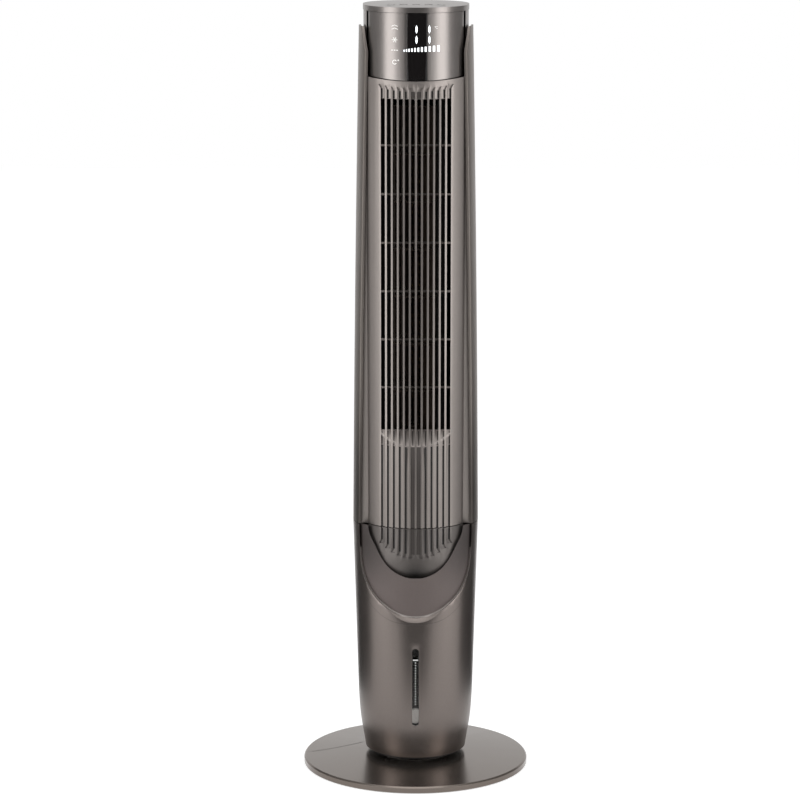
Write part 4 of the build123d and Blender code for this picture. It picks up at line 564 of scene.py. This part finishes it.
# the shells whose paint differs from the one their solid names
OWN_FINISH = {"left_side_panel": SIDE_PAINT, "right_side_panel": SIDE_PAINT,
              "base_front": BASE_PAINT, "base_rear": BASE_PAINT, "bib_panel": BIB_PAINT,
              "lower_housing": HOUSING_PAINT, "nose_cover": NOSE_PAINT,
              "front_grille": DRUM_PAINT}

for cad in frame["nodes"].values():
    for holder in cad.material_slots:
        holder.material = FINISHES[holder.material.name.split(".")[0]]

# ---------------------------------------------------------------- softened shells
# The millimetres taken off the hard edges of each shell; 0 keeps them hard.
SOFT_EDGES = {
    "base_front": 0.25, "base_rear": 0.25, "turntable": 0.4, "lower_housing": 0.15,
    "bib_panel": 0.15, "nose_cover": 0.15, "front_grille": 0.2, "left_side_panel": 0.3,
    "right_side_panel": 0.3, "rear_shell": 0.4, "head_housing": 0.3, "display_panel": 0.2,
    "display_window": 0.2, "top_cap": 0.4, "level_window": 0.2, "tank_door": 0.5,
    "rear_grille": 0.5, "cord_gland": 0.4, "impeller": 0.0, "impeller_shaft": 0.0,
    "volute_wall": 0.0, "cutoff_wall": 0.0, "motor_plate": 0.0, "top_plate": 0.0,
    "level_float": 0.4, "water_tank": 0.0, "drip_tray": 0.0, "pad_frame": 0.3,
    "power_button": 0.3, "speed_button": 0.3, "mode_button": 0.3, "swing_button": 0.3,
    "timer_button": 0.3, "shell_screws": 0.15,
}
# the shells whose broad faces need their shading evened
BROAD_FACES = ("top_cap", "base_front", "base_rear", "bib_panel")
MERGE_DISTANCE = 0.002 * MM
FLAT_ANGLE = math.radians(0.4)
EDGE_ANGLE = math.radians(38)
EDGE_SEGMENTS = 2
SMOOTH_ANGLE = math.radians(32)


def only(piece):
    """Leaves this piece alone selected and active."""
    bpy.ops.object.select_all(action="DESELECT")
    piece.select_set(True)
    bpy.context.view_layer.objects.active = piece


def soften(cad_name, edge_mm):
    """Models a smooth, merged copy of a CAD piece with its hard edges eased, in its place."""
    cad = frame["nodes"][cad_name]
    mesh = cad.data.copy()
    piece = bpy.data.objects.new(cad_name + "_shell", mesh)
    bpy.context.scene.collection.objects.link(piece)
    shape = bmesh.new()
    shape.from_mesh(mesh)
    bmesh.ops.remove_doubles(shape, verts=shape.verts, dist=MERGE_DISTANCE)
    bmesh.ops.dissolve_limit(shape, angle_limit=FLAT_ANGLE,
                             verts=shape.verts, edges=shape.edges)
    shape.to_mesh(mesh)
    shape.free()
    only(piece)
    if edge_mm:
        eased = piece.modifiers.new("eased_edges", "BEVEL")
        eased.width = edge_mm * MM
        eased.segments = EDGE_SEGMENTS
        eased.limit_method = "ANGLE"
        eased.angle_limit = EDGE_ANGLE
        eased.use_clamp_overlap = True
        bpy.ops.object.modifier_apply(modifier=eased.name)
    bpy.ops.object.shade_smooth_by_angle(angle=SMOOTH_ANGLE)
    if cad_name in BROAD_FACES:
        evened = piece.modifiers.new("evened_shading", "WEIGHTED_NORMAL")
        evened.keep_sharp = True
        bpy.ops.object.modifier_apply(modifier=evened.name)
    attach(piece, cad["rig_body"])
    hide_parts(cad_name)
    if cad_name in OWN_FINISH:
        mesh.materials[0] = OWN_FINISH[cad_name]


for cad_name, edge_mm in SOFT_EDGES.items():
    soften(cad_name, edge_mm)

# ---------------------------------------------------------------- printed and lit figures
FIGURE_LIFT = 0.12 * MM
FIGURE_THICKNESS = 0.15 * MM
SEGMENT_SIDES = 6
RING_SIDES = 24
TOWARDS = {"front": Vector((0, 1, 0)), "top": Vector((0, 0, -1))}
DISPLAY_FACES = ("display_window", "display_panel")
PRINTED_FACES = ("level_window", "power_button", "speed_button", "mode_button", "swing_button",
                 "timer_button")
LINED_FACES = ("front_grille", "nose_cover", "lower_housing", "base_front", "bib_panel")
# pieces are looked for from this far in front of a figure's place
LOOK_DISTANCE = 2.0


def stand_up(piece, x, y, z, view):
    """Turns a figure drawn flat on XY to face its side, and puts it in place in its mesh."""
    only(piece)
    if view == "front":
        bpy.ops.transform.rotate(value=-math.pi / 2, orient_axis="X", center_override=(0, 0, 0))
    bpy.ops.transform.translate(value=(x, y, z))
    bpy.ops.object.transform_apply(location=True, rotation=True, scale=True)


def surface_of(cad_name):
    """A search tree of a CAD piece's surface."""
    mesh = frame["nodes"][cad_name].data
    corners = [corner.co for corner in mesh.vertices]
    return BVHTree.FromPolygons(corners, [tuple(face.vertices) for face in mesh.polygons])


SURFACES = {name: surface_of(name) for name in DISPLAY_FACES + PRINTED_FACES + LINED_FACES}


def meeting_place(place, view, cad_names):
    """Where a line through a place, looking from one side, first meets these CAD pieces."""
    towards = TOWARDS[view]
    start = place - towards * (place.dot(towards) + LOOK_DISTANCE)
    met = []
    for name in cad_names:
        spot = SURFACES[name].ray_cast(start, towards)[0]
        if spot is not None:
            met.append(spot)
    return min(met, key=lambda spot: (spot - start).length)


def lay(piece, x, y, z, view, cad_names, material, slot_name, body, cuts=2):
    """Wraps a flat figure on the front or top of CAD pieces and gives it a thickness."""
    only(piece)
    bpy.ops.object.mode_set(mode="EDIT")
    bpy.ops.mesh.select_all(action="SELECT")
    bpy.ops.mesh.quads_convert_to_tris()
    bpy.ops.mesh.subdivide(number_cuts=cuts)
    bpy.ops.object.mode_set(mode="OBJECT")
    stand_up(piece, x, y, z, view)
    for corner in piece.data.vertices:
        corner.co = meeting_place(corner.co, view, cad_names) - TOWARDS[view] * FIGURE_LIFT
    wall = piece.modifiers.new("thickness", "SOLIDIFY")
    wall.thickness = FIGURE_THICKNESS
    bpy.ops.object.modifier_apply(modifier=wall.name)
    piece.data.materials.append(material)
    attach(piece, body)


def bar(name, width, height, turn=0.0):
    """A thin bar drawn flat on XY."""
    bpy.ops.object.select_all(action="DESELECT")
    bpy.ops.mesh.primitive_plane_add(size=1.0)
    piece = bpy.context.active_object
    piece.name = name
    piece.scale = (width, height, 1)
    piece.rotation_euler = (0, 0, turn)
    bpy.ops.object.transform_apply(location=True, rotation=True, scale=True)
    return piece


def segment(name, width, height):
    """One long six-sided segment of a digit."""
    bpy.ops.object.select_all(action="DESELECT")
    bpy.ops.mesh.primitive_circle_add(vertices=SEGMENT_SIDES, radius=0.5, fill_type="NGON")
    piece = bpy.context.active_object
    piece.name = name
    piece.scale = (width / math.cos(math.pi / SEGMENT_SIDES), height, 1)
    bpy.ops.object.transform_apply(location=True, rotation=True, scale=True)
    return piece


def ring(name, radius, band, opening=0.0):
    """A flat ring, left open on its right by an angle."""
    bpy.ops.object.select_all(action="DESELECT")
    bpy.ops.mesh.primitive_circle_add(vertices=RING_SIDES, radius=radius, fill_type="NOTHING")
    piece = bpy.context.active_object
    piece.name = name
    bpy.ops.object.mode_set(mode="EDIT")
    bpy.ops.mesh.select_all(action="SELECT")
    bpy.ops.mesh.extrude_edges_move()
    shrink = 1 - band / radius
    bpy.ops.transform.resize(value=(shrink, shrink, 1), center_override=(0, 0, 0))
    shape = bmesh.from_edit_mesh(piece.data)
    for face in shape.faces:
        middle = face.calc_center_median()
        face.select_set(abs(math.atan2(middle.y, middle.x)) < opening / 2)
    bmesh.update_edit_mesh(piece.data)
    bpy.ops.mesh.delete(type="FACE")
    bpy.ops.object.mode_set(mode="OBJECT")
    return piece


def line(name, steps, corner_place):
    """A narrow strip drawn flat on XY, in millimetres, by a rule for its corners.

    The rule gets a corner's share of the way along, and -0.5 or 0.5 for the side it is on.
    """
    bpy.ops.object.select_all(action="DESELECT")
    bpy.ops.mesh.primitive_grid_add(x_subdivisions=steps, y_subdivisions=1, size=1.0)
    piece = bpy.context.active_object
    piece.name = name
    for corner in piece.data.vertices:
        x, y = corner_place(corner.co.x + 0.5, math.copysign(0.5, corner.co.y))
        corner.co = Vector((x, y, 0)) * MM
    return piece


def merge_pieces(name, pieces):
    """Joins figures into one."""
    bpy.ops.object.select_all(action="DESELECT")
    for piece in pieces:
        piece.select_set(True)
    bpy.context.view_layer.objects.active = pieces[0]
    bpy.ops.object.join()
    pieces[0].name = name
    return pieces[0]


def moved(piece, x, y):
    """Moves a figure across its own flat, in its mesh."""
    only(piece)
    bpy.ops.transform.translate(value=(x, y, 0))
    bpy.ops.object.transform_apply(location=True, rotation=True, scale=True)
    return piece


def show(piece, x, z, light=LIT):
    """Lays a lit figure on the display."""
    lay(piece, x, 0, z, "front", DISPLAY_FACES, light, "smoked_glass", "tower")


# the figure eleven: two digits, each of two segments
DIGIT_TOP = 1055 * MM
DIGIT_PLACES = (0.6 * MM, 18.0 * MM)
SEGMENT_WIDTH = 2.7 * MM
SEGMENT_HEIGHT = 11.4 * MM
SEGMENT_GAP = 2.6 * MM
for column, digit_x in enumerate(DIGIT_PLACES):
    for row in range(2):
        centre_z = DIGIT_TOP - SEGMENT_HEIGHT / 2 - row * (SEGMENT_HEIGHT + SEGMENT_GAP)
        show(segment(f"digit_{column}_{row}", SEGMENT_WIDTH, SEGMENT_HEIGHT), digit_x, centre_z)

# the small sign of degrees Celsius beside it
CELSIUS_X, CELSIUS_Z = 28 * MM, 1051.5 * MM
degree = moved(ring("degree_ring", radius=0.7 * MM, band=0.3 * MM), x=-2.2 * MM, y=1.3 * MM)
celsius = ring("celsius_arc", radius=1.7 * MM, band=0.45 * MM, opening=math.radians(100))
show(merge_pieces("celsius_sign", [degree, celsius]), CELSIUS_X, CELSIUS_Z, DIM_LIT)

# the row of speed bars, each wider and taller than the last and a little further from it
SPEED_BARS = 11
BARS_LEFT = -16.1 * MM
BARS_BASE = 1019.3 * MM
BAR_PITCH = 3.2 * MM
BAR_SPREAD = 0.32 * MM
BAR_WIDTH, BAR_WIDTH_GROWTH = 1.5, 1.7
BAR_HEIGHT, BAR_HEIGHT_GROWTH = 2.8, 5.6
for step in range(SPEED_BARS):
    share = step / (SPEED_BARS - 1)
    width = (BAR_WIDTH + BAR_WIDTH_GROWTH * share) * MM
    height = (BAR_HEIGHT + BAR_HEIGHT_GROWTH * share) * MM
    centre_x = BARS_LEFT + BAR_PITCH * step + BAR_SPREAD * step * (step - 1) / 2
    show(bar(f"speed_bar_{step}", width, height), centre_x, BARS_BASE + height / 2)

# four plain mode signs down the left of the display
SIGN_X = -29 * MM
AIRFLOW_Z, COOL_Z, SWING_Z, SLEEP_Z = 1052 * MM, 1035 * MM, 1021 * MM, 1005 * MM
CHEVRON_SLANT = 0.4
CHEVRON_REACH = 2.1 * MM
CHEVRON_RISE = 2.0 * MM
STAR_ARMS = 3
DASHES = 3
DASH_PITCH = 3.4 * MM
chevron = [moved(bar(f"chevron_{side}_{row}", width=4.6 * MM, height=0.9 * MM,
                     turn=side * CHEVRON_SLANT),
                 x=-side * CHEVRON_REACH, y=row * CHEVRON_RISE)
           for side in (-1, 1) for row in (-1, 1)]
show(merge_pieces("airflow_sign", chevron), SIGN_X, AIRFLOW_Z, DIM_LIT)
spokes = [bar(f"spoke_{arm}", width=7.6 * MM, height=0.9 * MM, turn=arm * math.pi / STAR_ARMS)
          for arm in range(STAR_ARMS)]
show(merge_pieces("cool_sign", spokes), SIGN_X, COOL_Z, DIM_LIT)
dashes = [moved(bar(f"dash_{dash}", width=2.3 * MM, height=1.3 * MM),
                x=(dash - 1) * DASH_PITCH, y=0)
          for dash in range(DASHES)]
show(merge_pieces("swing_sign", dashes), SIGN_X, SWING_Z, DIM_LIT)
sleep_ring = ring("sleep_ring", radius=3.2 * MM, band=1.0 * MM, opening=math.radians(70))
sleep_dot = moved(ring("sleep_dot", radius=1.1 * MM, band=0.8 * MM), x=5.0 * MM, y=2.6 * MM)
show(merge_pieces("sleep_sign", [sleep_ring, sleep_dot]), SIGN_X, SLEEP_Z, DIM_LIT)

# the tank's level scale: a full mark, and a line of dots below it
FULL_MARK_DROP = 16.5 * MM
SCALE_DOTS = 17
SCALE_DROP = 20.5 * MM
SCALE_PITCH = 3.8 * MM
window_low, window_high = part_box("level_window")
window_x = (window_low.x + window_high.x) / 2


def mark_window(piece, drop):
    """Prints a white figure on the level window, at a drop from its top."""
    lay(piece, window_x, 0, window_high.z - drop, "front", ("level_window",), PRINT,
        "clear_window", "tower")


mark_window(bar("full_mark", width=7.4 * MM, height=1.8 * MM), FULL_MARK_DROP)
for dot in range(SCALE_DOTS):
    mark_window(bar(f"scale_dot_{dot}", width=1.7 * MM, height=1.1 * MM),
                SCALE_DROP + dot * SCALE_PITCH)

# Painted shade: a dark run down the outer side of every closed groove, over and under the air
# opening.
# The two grooves in the middle get a dim painted shade across their whole width. Heights are in
# millimetres; None is the groove's own foot or head.
GROOVE_COUNT = 12
GROOVE_PITCH = 8.2
GROOVE_WIDTH = 5.6
GROOVE_FOOT, GROOVE_FOOT_RISE = 321.5, 19.0
GROOVE_HEAD, GROOVE_HEAD_RISE = 965.0, 3.5
GROOVE_SPANS = (("nose_cover", None, 357.0), ("front_grille", 359.2, 474.5),
                ("front_grille", 955.5, None))
RUN_WIDTH = 2.6
RUN_MARGIN = 0.12
SILL_SPAN = (476.5, 494.0)
SILL_RUN_WIDTH = 1.6
SILL_RUN_CUTS = 7


def groove_painted_shade(name, x, width, low, high, cad_name, material, **options):
    """Lays an upright strip of painted shade in a groove."""
    run = bar(name, width * MM, (high - low) * MM)
    lay(run, x * MM, 0, (low + high) / 2 * MM, "front", (cad_name,), material, "shell_paint",
        "tower", **options)


outermost = (GROOVE_COUNT - 1) / 2 * GROOVE_PITCH
for groove in range(GROOVE_COUNT):
    middle = groove * GROOVE_PITCH - outermost
    spread = (middle / outermost) ** 2
    central = abs(middle) < GROOVE_PITCH
    wide = GROOVE_WIDTH - 2 * RUN_MARGIN if central else RUN_WIDTH
    run_x = middle + math.copysign((GROOVE_WIDTH - wide) / 2 - RUN_MARGIN, middle)
    for span, (cad_name, low, high) in enumerate(GROOVE_SPANS):
        groove_painted_shade(f"groove_painted_shade_{groove}_{span}", run_x, wide,
                   GROOVE_FOOT + GROOVE_FOOT_RISE * spread if low is None else low,
                   GROOVE_HEAD + GROOVE_HEAD_RISE * spread if high is None else high,
                   cad_name, DIM_PAINTED_SHADE_AND_SEAM if central else DARK_GROOVE_PAINTED_SHADE)
    # a dim strip of painted shade for every groove on the sill just under the air opening
    groove_painted_shade(f"sill_painted_shade_{groove}", run_x, SILL_RUN_WIDTH, *SILL_SPAN, "front_grille",
               DIM_PAINTED_SHADE_AND_SEAM, cuts=SILL_RUN_CUTS)

# fine dark seam round the seat of the bib, which thins to nothing at its ends
SEAM_STEPS = 60
SEAT_SEAM_HALF_WIDTH = 67.0
SEAT_SEAM_BOTTOM = 223.6
SEAT_SEAM_RISE = 17.8 / 57.0 ** 3
SEAT_SEAM_LINE = 0.5
SEAT_SEAM_TAPER = 4


def seat_seam_corner(share, side):
    """A corner of the seam, which rises to its ends with the cube of the distance."""
    across = (2 * share - 1) * SEAT_SEAM_HALF_WIDTH
    thinned = 1 - (across / SEAT_SEAM_HALF_WIDTH) ** SEAT_SEAM_TAPER
    return across, SEAT_SEAM_RISE * abs(across) ** 3 + side * SEAT_SEAM_LINE * thinned


lay(line("bib_seat_seam", SEAM_STEPS, seat_seam_corner), 0, 0, SEAT_SEAM_BOTTOM * MM, "front",
    ("lower_housing",), DIM_PAINTED_SHADE_AND_SEAM, "shell_paint", "tower", cuts=0)

# painted highlight: a pale strip round the lower side of the bib, over the gap to its seat,
# standing for the shine of its edge
BIB_EDGE_SIDE = ((77.4, 325.0), (74.6, 297.0), (67.5, 275.0), (57.0, 259.0), (45.0, 248.5),
                 (30.0, 239.0), (15.5, 233.6))
BIB_EDGE_BOTTOM = ((0.0, 232.0),)
BIB_EDGE_CENTRE = Vector((0.0, 330.0))
BIB_EDGE_INSET = 0.6
BIB_EDGE_LINE = 2.2
BIB_EDGE_STEPS = 84
bib_edge = (tuple((-x, z) for x, z in BIB_EDGE_SIDE) + BIB_EDGE_BOTTOM
            + tuple(reversed(BIB_EDGE_SIDE)))


def smooth_place(points, share):
    """A place at a share of the way along a smooth line through points."""
    last = len(points) - 1
    start = min(int(share * last), last - 1)
    part = share * last - start
    a, b, c, d = (Vector(points[min(max(start + step, 0), last)]) for step in (-1, 0, 1, 2))
    return (2 * b + (c - a) * part + (2 * a - 5 * b + 4 * c - d) * part ** 2
            + (3 * b - a - 3 * c + d) * part ** 3) / 2


def bib_edge_corner(share, side):
    """A corner of the painted highlight strip, set in from the bib's outline towards its centre.
    """
    place = smooth_place(bib_edge, share)
    inwards = (BIB_EDGE_CENTRE - place).normalized()
    return place + inwards * (BIB_EDGE_INSET + side * BIB_EDGE_LINE)


lay(line("bib_edge_painted_highlight", BIB_EDGE_STEPS, bib_edge_corner), 0, 0, 0, "front",
    ("bib_panel", "lower_housing"), PAINTED_BIB_EDGE_HIGHLIGHT, "shell_paint", "tower", cuts=0)

# fine dark seam between the two halves of the base, on its left, which runs back in a curve
BASE_SEAM_LEFT = -148.5
BASE_SEAM_RIGHT = -76.0
BASE_SEAM_LINE = 0.7
BASE_SEAM_RIM = -150.0
BASE_SEAM_START = 4.0
BASE_SEAM_RUN = 4.0
BASE_SEAM_REACH = 19.0
BASE_SEAM_POWER = 1.477


def base_seam_corner(share, side):
    """A corner of the base's seam, by a power of its distance from the rim."""
    across = BASE_SEAM_LEFT + share * (BASE_SEAM_RIGHT - BASE_SEAM_LEFT)
    run = BASE_SEAM_RUN * ((across - BASE_SEAM_RIM) / BASE_SEAM_REACH) ** BASE_SEAM_POWER
    return across, BASE_SEAM_START + run + side * BASE_SEAM_LINE


lay(line("base_seam", SEAM_STEPS, base_seam_corner), 0, 0, 0, "top", ("base_front",),
    DIM_PAINTED_SHADE_AND_SEAM, "shell_paint", "base", cuts=0)

# signs on the five buttons of the top, each drawn only when its turn comes
SIGN_LINE = 0.6 * MM
BUTTON_SIGNS = {
    "power_button": lambda: [
        ring("power_ring", radius=2.6 * MM, band=SIGN_LINE),
        moved(bar("power_bar", width=SIGN_LINE, height=2.4 * MM), x=0, y=1.6 * MM)],
    "speed_button": lambda: [
        moved(bar(f"speed_{n}", width=0.8 * MM, height=(1.6 + n) * MM),
              x=(n - 1) * 1.8 * MM, y=n * 0.5 * MM) for n in range(3)],
    "mode_button": lambda: [
        bar(f"mode_{arm}", width=4.8 * MM, height=SIGN_LINE, turn=arm * math.pi / STAR_ARMS)
        for arm in range(STAR_ARMS)],
    "swing_button": lambda: [
        ring("swing_ring", radius=2.4 * MM, band=SIGN_LINE, opening=math.radians(110)),
        bar("swing_bar", width=SIGN_LINE, height=2.6 * MM)],
    "timer_button": lambda: [
        ring("timer_ring", radius=2.6 * MM, band=SIGN_LINE),
        moved(bar("timer_hand", width=SIGN_LINE, height=2.0 * MM), x=0, y=0.9 * MM)],
}
for button, draw in BUTTON_SIGNS.items():
    low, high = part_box(button)
    sign = merge_pieces(button + "_sign", draw())
    lay(sign, (low.x + high.x) / 2, (low.y + high.y) / 2, high.z, "top", (button,), PRINT,
        "button_plastic", button)


# ---------------------------------------------------------------- studio set
def background_rays(tree):
    """One for the rays that see the white background: the eye's, and those in metal and glass."""
    seen = add(tree, "ShaderNodeLightPath")
    shown = math_node(tree, "MAXIMUM", seen.outputs["Is Camera Ray"],
                      seen.outputs["Is Glossy Ray"])
    return math_node(tree, "MAXIMUM", shown, seen.outputs["Is Transmission Ray"])


def floor_finish():
    """Pale floor that shows as the white background and keeps the fan's shadow."""
    material, tree, shader = start_material("pale_floor", Roughness=0.9,
                                            Emission_Color=(1, 1, 1, 1))
    shown = math_node(tree, "MULTIPLY", background_rays(tree), FLOOR_LIFT)
    join(tree, shown, shader.inputs["Emission Strength"])
    where = add(tree, "ShaderNodeTexCoord")
    cloud = add(tree, "ShaderNodeTexNoise", {"Scale": 3.0, "Detail": 3.0})
    join(tree, where.outputs["Object"], cloud.inputs["Vector"])
    ramp = add(tree, "ShaderNodeValToRGB")
    ramp.color_ramp.elements[0].color = (0.60, 0.60, 0.60, 1)
    ramp.color_ramp.elements[1].color = (0.64, 0.64, 0.64, 1)
    join(tree, cloud.outputs["Fac"], ramp.inputs["Fac"])
    join(tree, ramp.outputs["Color"], shader.inputs["Base Color"])
    return material


def new_card(name, grey):
    """A dark card that only shows in the fan's gloss."""
    bpy.ops.object.select_all(action="DESELECT")
    bpy.ops.mesh.primitive_plane_add(size=1.0)
    card = bpy.context.active_object
    card.name = name
    for ray in ("camera", "diffuse", "transmission", "volume_scatter", "shadow"):
        setattr(card, "visible_" + ray, False)
    material, tree, shader = start_material(name, Roughness=1.0)
    shader.inputs["Specular IOR Level"].default_value = 0.0
    shader.inputs["Base Color"].default_value = (grey, grey, grey, 1)
    card.data.materials.append(material)
    return card


def upright_card(name, azimuth, distance, width, height, grey):
    """A dark card that stands round the fan at a distance."""
    card = new_card(name, grey)
    card.scale = (width, height, 1)
    card.rotation_euler = (math.pi / 2, 0, azimuth)
    card.location = around(azimuth, distance, height / 2)


def floor_card(name, start, end, near, far, grey):
    """A dark wedge that lies on the floor between two directions, start and end."""
    card = new_card(name, grey)
    for vertex in card.data.vertices:
        azimuth = end if vertex.co.x > 0 else start
        vertex.co = around(azimuth, far if vertex.co.y > 0 else near, FLOOR_CARD_HEIGHT)


def studio_world():
    """White to the eye and in the gloss, and a softer fill on what is matt."""
    world = bpy.data.worlds.new("studio_world")
    world.use_nodes = True
    bpy.context.scene.world = world
    tree = world.node_tree
    fill = tree.nodes["Background"]
    fill.inputs["Color"].default_value = (1, 1, 1, 1)
    fill.inputs["Strength"].default_value = WORLD_FILL
    white = add(tree, "ShaderNodeBackground", {"Color": (1, 1, 1, 1), "Strength": 1.0})
    mixed = add(tree, "ShaderNodeMixShader")
    join(tree, background_rays(tree), mixed.inputs["Fac"])
    join(tree, fill.outputs["Background"], mixed.inputs[1])
    join(tree, white.outputs["Background"], mixed.inputs[2])
    join(tree, mixed.outputs["Shader"], tree.nodes["World Output"].inputs["Surface"])


bpy.ops.object.select_all(action="DESELECT")
bpy.ops.mesh.primitive_plane_add(size=FLOOR_SIZE)
floor = bpy.context.active_object
floor.name = "studio_floor"
floor.data.materials.append(floor_finish())
studio_world()
bpy.context.scene.view_settings.view_transform = "Standard"
new_camera()
for side in (-1, 1):
    new_area_light(f"strip_{side}", around(side * STRIP_AZIMUTH, STRIP_DISTANCE, STRIP_HEIGHT / 2),
                   (0, 0, STRIP_HEIGHT / 2), STRIP_WIDTH, STRIP_HEIGHT, STRIP_POWER)
    upright_card(f"side_card_{side}", side * SIDE_CARD_AZIMUTH, SIDE_CARD_DISTANCE,
                 SIDE_CARD_WIDTH, SIDE_CARD_HEIGHT, SIDE_CARD_GREY)
    floor_card(f"side_floor_card_{side}", side * SIDE_FLOOR_START, side * SIDE_FLOOR_END,
               FLOOR_CARD_NEAR, FLOOR_CARD_FAR, SIDE_FLOOR_GREY)
upright_card("front_card", 0.0, FRONT_CARD_DISTANCE, FRONT_CARD_WIDTH, FRONT_CARD_HEIGHT,
             FRONT_CARD_GREY)
floor_card("front_floor_card", -FRONT_FLOOR_SPREAD, FRONT_FLOOR_SPREAD,
           FLOOR_CARD_NEAR, FLOOR_CARD_FAR, FRONT_FLOOR_GREY)
new_area_light("top_lamp", TOP_LAMP_PLACE, (0, 0, HEIGHT), TOP_LAMP_SIZE, TOP_LAMP_SIZE,
               TOP_POWER)
